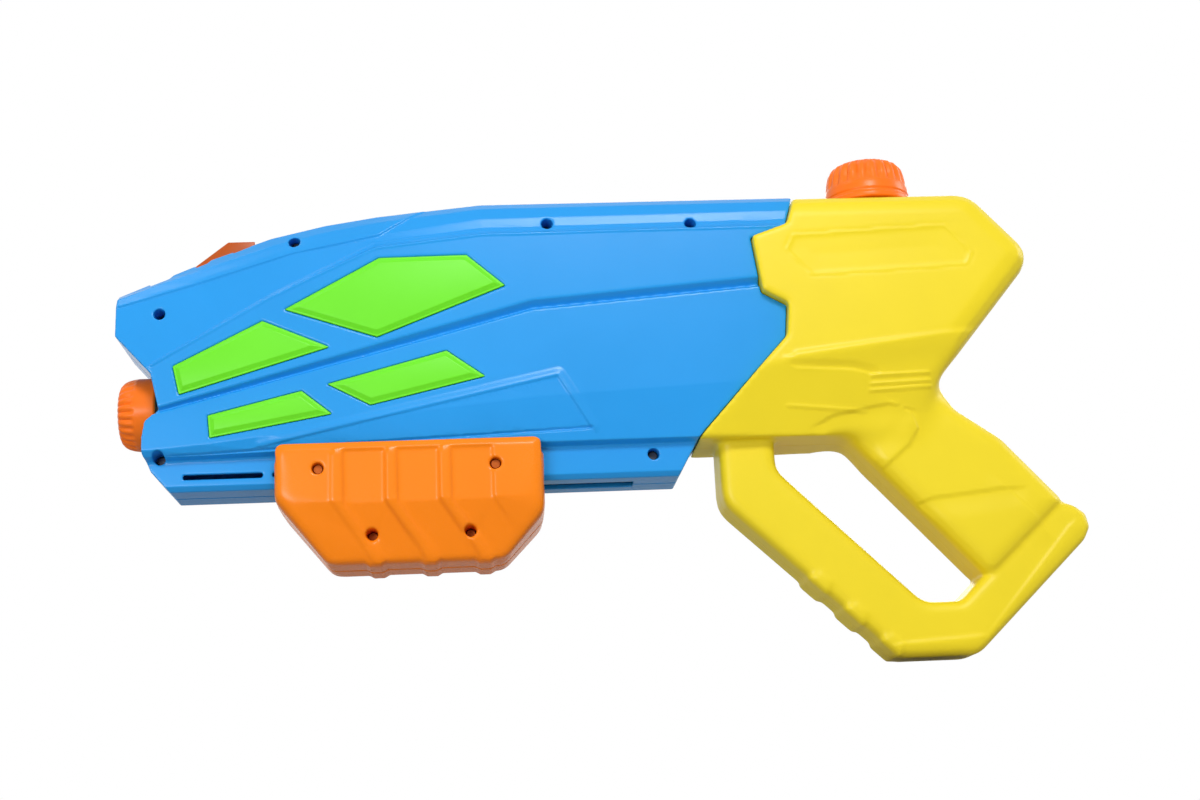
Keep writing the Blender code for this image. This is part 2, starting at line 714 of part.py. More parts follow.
def barrel_rooms(side, label):
    """What is cut from one barrel shell for the pieces that it holds or lets through."""
    forward, back = PUMP_FORWARD + SLIDE_GAP, PUMP_BACK + SLIDE_GAP
    post_half = POST_HALF_WIDTH + SLIDE_GAP
    sight_half = SIGHT_HALF_WIDTH + GAP
    pocket_low = sight_profile(BARREL_WALL + SIGHT_FLANGE_THICKNESS)
    return [
        bore(f"{label}_nozzle_recess", -FAR, NOZZLE_REAR_X + 1, BARREL_AXIS_Z,
             NOZZLE_RADIUS + NOZZLE_GAP, 40),
        bore(f"{label}_spout_hole", -FAR, CYLINDER_FRONT_X, BARREL_AXIS_Z, SPOUT_RADIUS + GAP),
        bore(f"{label}_cylinder_seat", CYLINDER_FRONT_X - GAP, CYLINDER_REAR_X, BARREL_AXIS_Z,
             CYLINDER_OUTER + GAP, 40),
        bore(f"{label}_tube_way", CYLINDER_FRONT_X, TONGUE_FRONT_X, LINE_Z, LINE_RADIUS + GAP, 16),
        pillow(f"{label}_tongue_seat", tongue_corners(GAP), TONGUE_Y + GAP, TONGUE_EDGE, steps=2),
        block(f"{label}_post_slot", (POST_FRONT_X - forward, -post_half, 0),
              (POST_REAR_X + back, post_half, RAIL_BOTTOM_Z + BARREL_WALL + 1)),
        rail_slot(f"{label}_front_slot", *FRONT_SLOT_X, side),
        rail_slot(f"{label}_key_slot", KEY_X - forward, KEY_X + KEY_LENGTH + back, side),
        slab(f"{label}_sight_pocket", inset(pocket_low, -GAP), -sight_half, sight_half),
        sight_flange(f"{label}_sight_flange_room", GAP),
        block(f"{label}_seam", (-FAR, -side * FAR, 0), (FAR, side * SEAM_GAP / 2, FAR)),
    ]


def barrel_shell(side, label):
    shell = barrel_loft(f"{label}_barrel", side)
    combine(shell, slab(f"{label}_outline", BARREL_OUTLINE, -FAR, FAR), "INTERSECT")
    combine(shell, barrel_cavity(side, label))
    for room in barrel_rooms(side, label):
        combine(shell, room)
    for number, span in enumerate(NOTCHES):
        combine(shell, notch(f"{label}_notch_{number}", span, side))
    for kind, (outline, face_y) in INLAYS.items():
        floor = side * (face_y - INLAY_POCKET - GAP)
        combine(shell, slab(f"{label}_{kind}_pocket", inset(outline, -GAP), floor, side * FAR))
    for number, (x, z) in enumerate(BARREL_SCREWS):
        start, end = (-FAR, 1) if side < 0 else (-1, BARREL_SCREW_TIP_Y + PILOT_GAP)
        combine(shell, cross_bore(f"{label}_pilot_{number}", start, end, x, z, SCREW_RADIUS + GAP, 12))
        if side < 0:
            recess = cross_bore(f"recess_{number}", -FAR, -BARREL_SCREW_HEAD_Y, x, z, RECESS_RADIUS)
            combine(shell, recess)
    return part(shell, f"{label}_barrel_shell", "blue")


def screw(name, x, z, head_y, tip_y):
    """A pan-head screw along the Y axis, its head's seat at head_y."""
    toward = 1 if tip_y > head_y else -1
    top = head_y - toward * SCREW_HEAD_LENGTH
    edge = head_y - toward * SCREW_HEAD_LENGTH * 0.6
    profile = [
        (top, 0), (top, SCREW_HEAD_RADIUS * 0.8), (edge, SCREW_HEAD_RADIUS), (head_y, SCREW_HEAD_RADIUS),
        (head_y, SCREW_RADIUS), (tip_y - toward * SCREW_RADIUS, SCREW_RADIUS), (tip_y, 0),
    ]
    return part(turned(name, profile, (x, 0, z), "Y", 16), name, "dark_steel", 40)


def sight():
    made = slab("sight", sight_profile(BARREL_WALL + GAP * 2), -SIGHT_HALF_WIDTH, SIGHT_HALF_WIDTH)
    join(made, sight_flange("sight_flange"))
    part(made, "top_sight", "orange")


# Nozzle, valve and cylinder


def on_axis(name, profile, colour, sides=32):
    """A turned piece on the barrel's axis."""
    return part(turned(f"{name}_turning", profile, (0, 0, BARREL_AXIS_Z), "X", sides), name, colour, 35)


def ring(start, end, inner, outer):
    """The profile of a plain ring."""
    return [(start, inner), (start, outer), (end, outer), (end, inner)]


def nozzle():
    front, rim, depth = NOZZLE_FRONT_X, NOZZLE_RIM_RADIUS, SEAL_FRONT_X - GAP
    profile = [
        (front, NOZZLE_ORIFICE), (front, rim - 3), (front + 1, rim - 1), (front + 3.5, rim + 1),
        (front + NOZZLE_NOSE, NOZZLE_RADIUS), (NOZZLE_REAR_X, NOZZLE_RADIUS),
        (NOZZLE_REAR_X, SPOUT_RADIUS + GAP), (depth, SPOUT_RADIUS + GAP), (depth, NOZZLE_ORIFICE),
    ]
    on_axis("nozzle", profile, "cap_orange", 40)
    seal = ring(SEAL_FRONT_X, SEAL_FRONT_X + SEAL_THICKNESS, NOZZLE_ORIFICE + 1, SPOUT_RADIUS)
    on_axis("nozzle_seal", seal, "rubber", 24)


def cylinder_head():
    """The cylinder's front wall with the spout in front, where the outlet valve seats."""
    inner = CYLINDER_FRONT_X + HEAD_THICKNESS
    profile = [
        (SPOUT_FRONT_X, SPOUT_BORE), (SPOUT_FRONT_X, SPOUT_RADIUS), (CYLINDER_FRONT_X, SPOUT_RADIUS),
        (CYLINDER_FRONT_X, CYLINDER_BORE - GAP), (inner, CYLINDER_BORE - GAP), (inner, SEAT_BORE),
        (SPOUT_SHOULDER_X, SEAT_BORE), (SPOUT_SHOULDER_X, SPOUT_BORE),
    ]
    on_axis("cylinder_head", profile, "white")


def cylinder():
    """The pump's tube, with a stub on top and a socket that the feed tube meets."""
    tube = ring(CYLINDER_FRONT_X, CYLINDER_REAR_X, CYLINDER_BORE, CYLINDER_OUTER)
    made = turned("cylinder_turning", tube, (0, 0, BARREL_AXIS_Z), "X", 32)
    top = BARREL_AXIS_Z + CYLINDER_OUTER
    foot, middle, high = (INLET_X, 0, top - 1), (INLET_X, 0, LINE_Z), (INLET_X, 0, LINE_Z + STUB_RADIUS)
    tip, past = (INLET_X + BARB_LENGTH, 0, LINE_Z), (INLET_X + BARB_LENGTH + 1, 0, LINE_Z)
    join(made, rod("cylinder_stub", foot, high, STUB_RADIUS, 16))
    join(made, rod("cylinder_barb", middle, tip, BARB_RADIUS, 12))
    inside = (INLET_X, 0, BARREL_AXIS_Z + CYLINDER_BORE - 1)
    combine(made, rod("cylinder_port", inside, middle, BARB_BORE, 12))
    combine(made, rod("cylinder_barb_bore", middle, past, BARB_BORE - 0.1, 12))
    part(made, "cylinder", "white", 35)
    cap = ring(CYLINDER_REAR_X + GAP, REAR_CAP_END_X, ROD_RADIUS + GAP, CYLINDER_OUTER)
    on_axis("cylinder_rear_cap", cap, "white")


def piston():
    """The piston with its ring, and the rod with the nut that clamps it to the slider's post."""
    radius = CYLINDER_BORE - PISTON_CLEARANCE
    middle = (PISTON_FRONT_X + PISTON_REAR_X) / 2
    groove_front, groove_rear = middle - RING_WIDTH / 2 - GAP / 2, middle + RING_WIDTH / 2 + GAP / 2
    socket = groove_rear + SOCKET_WALL
    body = [
        (PISTON_FRONT_X, 0), (PISTON_FRONT_X, radius), (groove_front, radius),
        (groove_front, radius - RING_GROOVE), (groove_rear, radius - RING_GROOVE), (groove_rear, radius),
        (PISTON_REAR_X, radius), (PISTON_REAR_X, ROD_RADIUS + GAP), (socket, ROD_RADIUS + GAP), (socket, 0),
    ]
    on_axis("piston", body, "white")
    inner, outer = radius - RING_GROOVE + GAP, CYLINDER_BORE - GAP
    ring_front, ring_rear = middle - RING_WIDTH / 2, middle + RING_WIDTH / 2
    lips = [
        (ring_front, inner), (ring_front, outer - RING_CROWN), (middle, outer),
        (ring_rear, outer - RING_CROWN), (ring_rear, inner),
    ]
    on_axis("piston_ring", lips, "rubber")
    shoulder_end = ROD_SHOULDER_X + ROD_SHOULDER_LENGTH
    bar = [
        (socket + GAP, 0), (socket + GAP, ROD_RADIUS), (ROD_SHOULDER_X, ROD_RADIUS),
        (ROD_SHOULDER_X, ROD_SHOULDER), (shoulder_end, ROD_SHOULDER), (shoulder_end, ROD_RADIUS),
        (ROD_END_X, ROD_RADIUS), (ROD_END_X, 0),
    ]
    on_axis("piston_rod", bar, "white", 20)
    start = POST_REAR_X + GAP
    nut = bore("nut", start, ROD_END_X, BARREL_AXIS_Z, ROD_NUT_RADIUS, 6)
    combine(nut, bore("nut_bore", start - 1, ROD_END_X + 1, BARREL_AXIS_Z, ROD_RADIUS + GAP, 20))
    part(nut, "rod_nut", "white")


def outlet_valve():
    """A mushroom valve on the spout's shoulder, its spring, and the retainer in front."""
    back = SPOUT_SHOULDER_X - GAP
    front = back - VALVE_THICKNESS
    stem = front - VALVE_STEM_LENGTH
    disc = [
        (back, 0), (back, VALVE_RADIUS), (front, VALVE_RADIUS), (front, VALVE_STEM_RADIUS),
        (stem, VALVE_STEM_RADIUS), (stem, 0),
    ]
    on_axis("outlet_valve", disc, "rubber", 20)
    retainer_back = SPOUT_FRONT_X + RETAINER_LENGTH
    retainer = ring(SPOUT_FRONT_X, retainer_back, VALVE_STEM_RADIUS + 1, SPOUT_BORE - GAP)
    on_axis("valve_retainer", retainer, "white", 20)
    start = front - GAP - SPRING_WIRE
    length = start - (retainer_back + VALVE_TRAVEL + SPRING_WIRE + GAP)
    count = SPRING_TURNS * SPRING_POINTS
    path = []
    for number in range(count + 1):
        turn = math.tau * number / SPRING_POINTS
        across, up = SPRING_RADIUS * math.cos(turn), SPRING_RADIUS * math.sin(turn)
        path.append((start - length * number / count, across, BARREL_AXIS_Z + up))
    part(pipe("spring", path, SPRING_WIRE, 1), "outlet_spring", "steel", 60)


# Slider and pump shells


def pump_carriage():
    """A U-shaped slider under the rail, with keys in its side slots and a post up to the rod."""
    inner = RAIL_Y + SLIDE_GAP
    low, high = (SLIDER_FRONT_X, -SLIDER_Y, SLIDER_FLOOR_Z), (POST_REAR_X, SLIDER_Y, SLIDER_TOP_Z)
    made = block("slider", low, high)
    low, high = (-FAR, -inner, RAIL_BOTTOM_Z - SLIDE_GAP), (FAR, inner, FAR)
    combine(made, block("slider_room", low, high))
    for side in (-1, 1):
        low, high = SLOT_Z - KEY_HEIGHT / 2, SLOT_Z + KEY_HEIGHT / 2
        start, end = side * (inner - KEY_DEPTH), side * (inner + 1)
        join(made, block(f"key_{side}", (KEY_X, start, low), (KEY_X + KEY_LENGTH, end, high)))
        for number, x in enumerate(PUMP_SIDE_SCREW_XS):
            start, end = side * (inner + SLIDER_SKIN), side * (SLIDER_Y + 2)
            radius = SCREW_RADIUS + GAP
            combine(made, cross_bore(f"slider_hole_{side}_{number}", start, end, x, SLOT_Z, radius, 12))
    foot = (POST_FRONT_X, -POST_HALF_WIDTH, SLIDER_FLOOR_Z)
    join(made, block("post", foot, (POST_REAR_X, POST_HALF_WIDTH, BARREL_AXIS_Z + POST_HEAD)))
    rod_room = ROD_RADIUS + GAP
    combine(made, bore("post_hole", POST_FRONT_X - 1, POST_REAR_X + 1, BARREL_AXIS_Z, rod_room, 20))
    part(made, "pump_carriage", "white")


def pump_wedge(name, side, wall=0.0):
    """What is taken off the pump's side below its crease, where it leans in to the bottom."""
    slope = (PUMP_Y - PUMP_LOW_Y) / (PUMP_CREASE_Z - PUMP_BOTTOM_Z)
    face, low_face = side * (PUMP_Y - wall), side * (PUMP_Y - slope * PUMP_CREASE_Z - wall)
    outline = [(face, PUMP_CREASE_Z), (side * FAR, PUMP_CREASE_Z), (side * FAR, 0), (low_face, 0)]
    return loft(name, [[(x, y, z) for y, z in outline] for x in (-FAR, FAR)])


def pump_panel(name, x, side):
    """A cutter for one sunk panel, which follows the pump's side over its crease."""
    slope = (PUMP_Y - PUMP_LOW_Y) / (PUMP_CREASE_Z - PUMP_BOTTOM_Z)
    sections = []
    for z, start, end in PUMP_PANEL:
        face = PUMP_Y - slope * max(PUMP_CREASE_Z - z, 0)
        floor, past = side * (face - PUMP_PANEL_DEPTH), side * FAR
        corners = ((x + start, floor), (x + end, floor), (x + end, past), (x + start, past))
        sections.append([(*corner, z) for corner in corners])
    return loft(name, sections)


def pump_room(side, label):
    """The hollow of one pump shell, less the shelf, cheek and bosses that hold the slider and screws."""
    room = pillow(f"{label}_pump_room", PUMP_CORNERS, PUMP_Y, PUMP_EDGE, PUMP_WALL, steps=2)
    combine(room, pump_wedge(f"{label}_pump_room_wedge", side, PUMP_WALL))
    shelf_low, cheek_start = PUMP_SHELF_Z - PUMP_WALL, side * (SLIDER_Y + GAP)
    combine(room, block(f"{label}_pump_shelf", (-FAR, -FAR, shelf_low), (FAR, FAR, PUMP_SHELF_Z)))
    low, high = (-FAR, cheek_start, shelf_low + 1), (FAR, side * FAR, PUMP_LIP_Z)
    combine(room, block(f"{label}_pump_cheek", low, high))
    for number, (x, z) in enumerate(PUMP_LOW_SCREWS):
        radius = RECESS_RADIUS + BOSS_WALL
        combine(room, cross_bore(f"{label}_pump_boss_{number}", -side, side * FAR, x, z, radius))
    return room


def pump_screw_holes(side, label):
    """Pilots and recesses of the screws that close the pump shells and hold them on the slider."""
    pilot = SCREW_RADIUS + GAP
    for number, (x, z) in enumerate(PUMP_LOW_SCREWS):
        start, end = (-FAR, 1) if side < 0 else (-1, PUMP_LOW_TIP_Y + PILOT_GAP)
        yield cross_bore(f"{label}_low_pilot_{number}", start, end, x, z, pilot, 12)
        if side < 0:
            yield cross_bore(f"low_recess_{number}", -FAR, -PUMP_LOW_HEAD_Y, x, z, RECESS_RADIUS)
    seat = side * PUMP_SEAT_Y
    for number, x in enumerate(PUMP_SIDE_SCREW_XS):
        yield cross_bore(f"{label}_side_pilot_{number}", side * RAIL_Y, side * FAR, x, SLOT_Z, pilot, 12)
        yield cross_bore(f"{label}_side_recess_{number}", seat, side * FAR, x, SLOT_Z, RECESS_RADIUS)


def pump_shell(side, label):
    shell = pillow(f"{label}_pump", PUMP_CORNERS, PUMP_Y, PUMP_EDGE, steps=2)
    combine(shell, pump_wedge(f"{label}_pump_wedge", side))
    combine(shell, pump_room(side, label))
    lip_y, way_y = BULGE_Y + SLIDE_GAP, SLIDER_Y + GAP
    combine(shell, block(f"{label}_channel", (-FAR, -lip_y, PUMP_LIP_Z), (FAR, lip_y, FAR)))
    combine(shell, block(f"{label}_way", (-FAR, -way_y, PUMP_SHELF_Z), (FAR, way_y, PUMP_LIP_Z + 1)))
    combine(shell, block(f"{label}_pump_seam", (-FAR, -side * FAR, 0), (FAR, side * SEAM_GAP / 2, FAR)))
    for number in range(PUMP_PANELS):
        x = PUMP_FRONT_X + PUMP_PANEL_START + PUMP_PANEL_PITCH * number
        combine(shell, pump_panel(f"{label}_pump_panel_{number}", x, side))
    for hole in pump_screw_holes(side, label):
        combine(shell, hole)
    for number, x in enumerate(PUMP_SIDE_SCREW_XS):
        tip = side * (RAIL_Y + SLIDE_GAP + SLIDER_SKIN + GAP)
        screw(f"{label}_pump_screw_{number + 1}", x, SLOT_Z, side * (PUMP_SEAT_Y + GAP), tip)
    return part(shell, f"{label}_pump_shell", "orange", 30)


# Tank


def crease_wedge(name, side, wall=0.0):
    """What is taken off the tank's side below the crease, where it narrows to the grip."""
    face, low_face, past = side * (BODY_Y - wall), side * (LOWER_BODY_Y - wall), side * FAR
    sections = []
    for x, z in CREASE_LINE:
        low = z - CREASE_DROP
        sections.append([(x, face, z), (x, past, z), (x, past, 0), (x, low_face, 0), (x, low_face, low)])
    return loft(name, sections)


def tank_form(label, wall=0.0):
    """The outside of the tank, or with a wall its hollow."""
    body = pillow(f"{label}_body", BODY_CORNERS, BODY_Y, BODY_EDGE, wall)
    for side in (-1, 1):
        combine(body, crease_wedge(f"{label}_wedge_{side}", side, wall))
    combine(body, slab(f"{label}_barrel_room", inset(BARREL_OUTLINE, -GAP - wall), -FAR, FAR))
    join(body, pillow(f"{label}_tongue", tongue_corners(), TONGUE_Y, TONGUE_EDGE, wall, steps=2))
    join(body, pillow(f"{label}_grip", GRIP_CORNERS, GRIP_Y, GRIP_EDGE, wall))
    join(body, pillow(f"{label}_loop", LOOP_CORNERS, LOOP_Y, LOOP_EDGE, wall))
    return body


def loop_step(number):
    """One of the raised blocks along the loop's front edge."""
    corner, foot = Vector(LOOP_CORNERS[1][:2]), Vector(LOOP_CORNERS[2][:2])
    along = (foot - corner).normalized()
    away = Vector((along.y, -along.x))
    start = corner + along * (LOOP_STEP_START + number * LOOP_STEP_PITCH)
    end = start + along * LOOP_STEP_LENGTH
    outer, inner = away * LOOP_STEP_PROUD, away * -LOOP_STEP_DEPTH
    places = (start + outer, end + outer, end + inner, start + inner)
    corners = [(*place, LOOP_STEP_CORNER) for place in places]
    return pillow(f"loop_step_{number}", corners, LOOP_Y + LOOP_STEP_PROUD / 2, LOOP_STEP_EDGE, steps=2)


def tank():
    made = tank_form("tank")
    for number in range(LOOP_STEPS):
        join(made, loop_step(number))
    inside_z = TANK_TOP_Z - BODY_EDGE
    join(made, rod("neck", (NECK_X, 0, inside_z), (NECK_X, 0, NECK_TOP_Z), NECK_RADIUS, 32))
    combine(made, tank_form("hollow", TANK_WALL))
    combine(made, rod("neck_bore", (NECK_X, 0, inside_z - 5), (NECK_X, 0, FAR), NECK_BORE, 32))
    for side in (-1, 1):
        floor = side * (BODY_Y - BADGE_DEPTH)
        combine(made, slab(f"badge_{side}", rounded(BADGE_CORNERS), floor, side * FAR))
    outside, inside = TONGUE_FRONT_X - 1, TONGUE_FRONT_X + TANK_WALL + 1
    combine(made, bore("fitting_hole", outside, inside, LINE_Z, GROMMET_RADIUS, 20))
    part(made, "tank", "yellow", 35)


def tank_cap():
    rim_z, inner = CAP_BASE_Z + CAP_COLLAR, NECK_RADIUS + GAP
    profile = [
        (CAP_TOP_Z, 0), (CAP_TOP_Z, CAP_TOP_RADIUS - 3), (CAP_TOP_Z - 2, CAP_TOP_RADIUS),
        (CAP_SHOULDER_Z, CAP_WAIST_RADIUS), (rim_z, CAP_WAIST_RADIUS), (rim_z, CAP_BASE_RADIUS),
        (CAP_BASE_Z, CAP_BASE_RADIUS), (CAP_BASE_Z, inner), (NECK_LIP_Z, inner), (NECK_LIP_Z, 0),
    ]
    part(turned("cap", profile, (NECK_X, 0, 0), "Z", 40), "tank_cap", "cap_orange", 35)
    low, high = NECK_TOP_Z + GAP, NECK_TOP_Z + GAP + CAP_SEAL_THICKNESS
    seal = [(low, 0), (low, NECK_RADIUS), (high, NECK_RADIUS), (high, 0)]
    part(turned("seal", seal, (NECK_X, 0, 0), "Z", 32), "cap_seal", "rubber", 35)


def at_line(name, profile, colour, sides, smooth=35):
    """A turned piece on the water line's axis."""
    part(turned(f"{name}_turning", profile, (0, 0, LINE_Z), "X", sides), name, colour, smooth)


def water_line():
    """Tank fitting and grommet, and the feed tube along the barrel."""
    wall_in = TONGUE_FRONT_X + TANK_WALL
    outer, inner, lip = GROMMET_RADIUS - GAP, OUTLET_RADIUS + GAP, GROMMET_RADIUS + GROMMET_LIP
    front, rear = TONGUE_FRONT_X - GAP - GROMMET_LIP_THICKNESS, wall_in + GAP + GROMMET_LIP_THICKNESS
    grommet = [
        (front, inner), (front, lip), (TONGUE_FRONT_X - GAP, lip), (TONGUE_FRONT_X - GAP, outer),
        (wall_in + GAP, outer), (wall_in + GAP, lip), (rear, lip), (rear, inner),
    ]
    at_line("tank_grommet", grommet, "rubber", 24)
    flange_rear = front - GAP
    flange_front = flange_rear - FITTING_FLANGE_THICKNESS
    barb_end = flange_front - BARB_LENGTH
    fitting = [
        (barb_end, BARB_BORE), (barb_end, BARB_RADIUS), (flange_front, BARB_RADIUS),
        (flange_front, FITTING_FLANGE), (flange_rear, FITTING_FLANGE), (flange_rear, OUTLET_RADIUS),
        (OUTLET_END_X, OUTLET_RADIUS), (OUTLET_END_X, PICKUP_RADIUS + GAP),
        (PICKUP_START_X - GAP, PICKUP_RADIUS + GAP), (PICKUP_START_X - GAP, BARB_BORE),
    ]
    at_line("tank_outlet", fitting, "white", 20)
    feed = ring(INLET_X + STUB_RADIUS + GAP, flange_front - GAP, LINE_BORE, LINE_RADIUS)
    at_line("feed_tube", feed, "hose", 12, 60)


def pickup():
    """The pickup tube down to the tongue's floor, and its foot valve with a ball."""
    low = TONGUE_Z[0] + TANK_WALL + GAP
    seat = low + FOOT_SEAT
    ball_z = seat + BALL_RADIUS + GAP
    room_top, room = ball_z + BALL_RADIUS + BALL_TRAVEL + GAP, BALL_RADIUS + GAP
    socket = room_top + FOOT_WALL
    tube_end = socket + GAP
    foot_top = tube_end + FOOT_SOCKET
    bend = []
    for step in range(PICKUP_BEND_STEPS + 1):
        turn = math.pi / 2 * step / PICKUP_BEND_STEPS
        x = PICKUP_X - PICKUP_BEND * (1 - math.sin(turn))
        bend.append((x, 0, LINE_Z - PICKUP_BEND * (1 - math.cos(turn))))
    made = pipe("pickup", [(PICKUP_START_X, 0, LINE_Z), *bend, (PICKUP_X, 0, tube_end)], PICKUP_RADIUS)
    bore_path = [(PICKUP_START_X - 2, 0, LINE_Z), *bend, (PICKUP_X, 0, tube_end - 2)]
    combine(made, pipe("pickup_bore", bore_path, PICKUP_BORE))
    part(made, "pickup_tube", "hose", 60)
    foot = [
        (low, FOOT_INLET), (low, FOOT_RADIUS), (foot_top, FOOT_RADIUS), (foot_top, PICKUP_RADIUS + GAP),
        (socket, PICKUP_RADIUS + GAP), (socket, PICKUP_BORE), (room_top, PICKUP_BORE), (room_top, room),
        (seat, room), (seat, FOOT_INLET),
    ]
    part(turned("foot", foot, (PICKUP_X, 0, 0), "Z", 20), "foot_valve", "white", 35)
    bm = bmesh.new()
    place = Matrix.Translation(Vector((PICKUP_X, 0, ball_z)) * MM)
    bmesh.ops.create_uvsphere(bm, u_segments=12, v_segments=8, radius=BALL_RADIUS * MM, matrix=place)
    part(solid("ball", bm), "foot_valve_ball", "steel", 60)


def hang(name, place, pieces):
    """Parents moving pieces to an empty on their joint's axis, without moving them."""
    empty = bpy.data.objects.new(name, None)
    empty.location = Vector(place) * MM
    PARTS.objects.link(empty)
    for piece in pieces:
        made = bpy.data.objects[piece]
        made.parent = empty
        made.matrix_parent_inverse = Matrix.Translation(-empty.location)


def centre():
    """Hangs the whole toy on one empty, set so that its length is centred on the origin."""
    view = bpy.context.evaluated_depsgraph_get()
    xs = []
    for made in PARTS.objects:
        if made.type == "MESH":
            shown = made.evaluated_get(view)
            xs += [(shown.matrix_world @ Vector(corner)).x for corner in shown.bound_box]
    whole = bpy.data.objects.new("whole_toy", None)
    for made in [*PARTS.objects, *CUTTERS.objects]:
        if made.parent is None:
            made.parent = whole
    whole.location.x = -(min(xs) + max(xs)) / 2
    PARTS.objects.link(whole)


def build():
    for side, label in ((-1, "left"), (1, "right")):
        barrel_shell(side, label)
        pump_shell(side, label)
        for kind, (outline, face_y) in INLAYS.items():
            part(inlay(f"{label}_{kind}", outline, face_y, side), f"{label}_{kind}_inlay", "green")
    for number, (x, z) in enumerate(BARREL_SCREWS):
        screw(f"barrel_screw_{number + 1}", x, z, -BARREL_SCREW_HEAD_Y - GAP, BARREL_SCREW_TIP_Y)
    for number, (x, z) in enumerate(PUMP_LOW_SCREWS):
        screw(f"pump_low_screw_{number + 1}", x, z, -PUMP_LOW_HEAD_Y - GAP, PUMP_LOW_TIP_Y)
    sight()
    nozzle()
    cylinder_head()
    cylinder()
    piston()
    outlet_valve()
    pump_carriage()
    tank()
    tank_cap()
    water_line()
    pickup()
    names = [made.name for made in PARTS.objects]
    driven = [name for name in names if "pump" in name]
    driven += ["piston", "piston_ring", "piston_rod", "rod_nut"]
    hang("pump_axis", (POST_FRONT_X, 0, BARREL_AXIS_Z), driven)
    hang("cap_axis", (NECK_X, 0, CAP_BASE_Z), ["tank_cap", "cap_seal"])
    hang("nozzle_axis", (NOZZLE_REAR_X, 0, BARREL_AXIS_Z), ["nozzle", "nozzle_seal"])
    hang("valve_axis", (SPOUT_SHOULDER_X, 0, BARREL_AXIS_Z), ["outlet_valve", "outlet_spring"])
    hang("ball_axis", (PICKUP_X, 0, TONGUE_Z[0]), ["foot_valve_ball"])
    centre()


build()
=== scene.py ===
# Pump-action water squirter: the looks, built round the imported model.
# Lengths are in metres. The muzzle points to -X and the photographed side faces -Y.
import json
import math

import bpy
import numpy as np
from mathutils import Matrix, Vector


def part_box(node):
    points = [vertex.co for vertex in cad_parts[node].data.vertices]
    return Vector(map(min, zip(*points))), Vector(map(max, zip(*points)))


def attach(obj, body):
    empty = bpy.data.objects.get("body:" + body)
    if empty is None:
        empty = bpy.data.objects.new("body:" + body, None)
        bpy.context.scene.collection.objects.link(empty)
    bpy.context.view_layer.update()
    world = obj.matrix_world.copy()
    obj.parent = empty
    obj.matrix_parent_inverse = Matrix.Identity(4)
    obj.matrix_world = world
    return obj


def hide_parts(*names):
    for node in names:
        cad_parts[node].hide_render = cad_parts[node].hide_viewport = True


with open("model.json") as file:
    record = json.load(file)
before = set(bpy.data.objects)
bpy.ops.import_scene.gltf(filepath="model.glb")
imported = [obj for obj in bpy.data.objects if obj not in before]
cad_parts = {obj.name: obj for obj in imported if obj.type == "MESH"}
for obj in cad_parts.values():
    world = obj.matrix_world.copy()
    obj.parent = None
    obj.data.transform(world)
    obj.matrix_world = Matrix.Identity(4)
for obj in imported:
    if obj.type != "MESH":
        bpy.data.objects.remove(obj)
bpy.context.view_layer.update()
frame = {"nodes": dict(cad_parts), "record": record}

# Camera
# The photograph is taken from below the toy's left side, a metre off, and a little askew.
LOOKS_AT = Vector((-0.00129, 0, 0.1474))
AZIMUTH = math.radians(-4)
ELEVATION = math.radians(-14)
ROLL = math.radians(-2.7)
DISTANCE = 1.0
LENS = 55
SENSOR = 36

back = Vector((
    math.sin(AZIMUTH) * math.cos(ELEVATION),
    -math.cos(AZIMUTH) * math.cos(ELEVATION),
    math.sin(ELEVATION),
))
level = Vector((math.cos(AZIMUTH), math.sin(AZIMUTH), 0))
upright = back.cross(level)
across = level * math.cos(ROLL) + upright * math.sin(ROLL)
upward = upright * math.cos(ROLL) - level * math.sin(ROLL)
turn = Matrix((across, upward, back)).transposed().to_4x4()
bpy.ops.object.camera_add()
camera = bpy.context.object
camera.data.lens = LENS
camera.data.sensor_width = SENSOR
camera.data.clip_start = 0.01
camera.matrix_world = Matrix.Translation(LOOKS_AT + back * DISTANCE) @ turn
bpy.context.scene.camera = camera
bpy.context.scene.view_settings.view_transform = "Standard"


# Studio
# A white tent with a soft key above the camera, a low fill, a faint rim light past the muzzle and two lights
# behind, over a pale floor that fades into the background and can be seen through from below.
class Signal:
    """A shader socket on which plain arithmetic adds Math nodes."""

    def __init__(self, finish, socket):
        self.finish = finish
        self.socket = socket

    def math(self, operation, first, second):
        return self.finish.add("ShaderNodeMath", {"operation": operation}, {0: first, 1: second})

    def __add__(self, other):
        return self.math("ADD", self, other)

    def __sub__(self, other):
        return self.math("SUBTRACT", self, other)

    def __rsub__(self, other):
        return self.math("SUBTRACT", other, self)

    def __mul__(self, other):
        return self.math("MULTIPLY", self, other)

    __radd__ = __add__
    __rmul__ = __mul__


class Finish:
    """A node tree, and the one method that adds nodes to it."""

    def __init__(self, tree):
        self.tree = tree

    def add(self, kind, settings=None, values=None, output=0):
        node = self.tree.nodes.new(kind)
        for name, value in (settings or {}).items():
            setattr(node, name, value)
        self.join(node, values or {})
        return Signal(self, node.outputs[output])

    def join(self, node, values):
        for name, value in values.items():
            if isinstance(value, Signal):
                self.tree.links.new(value.socket, node.inputs[name])
            else:
                node.inputs[name].default_value = value


def larger(finish, first, second):
    """The larger of two signals."""
    return finish.add("ShaderNodeMath", {"operation": "MAXIMUM"}, {0: first, 1: second})


WORLD_GREY = (0.3, 0.3, 0.305, 1)
WHITE = (1, 1, 1, 1)

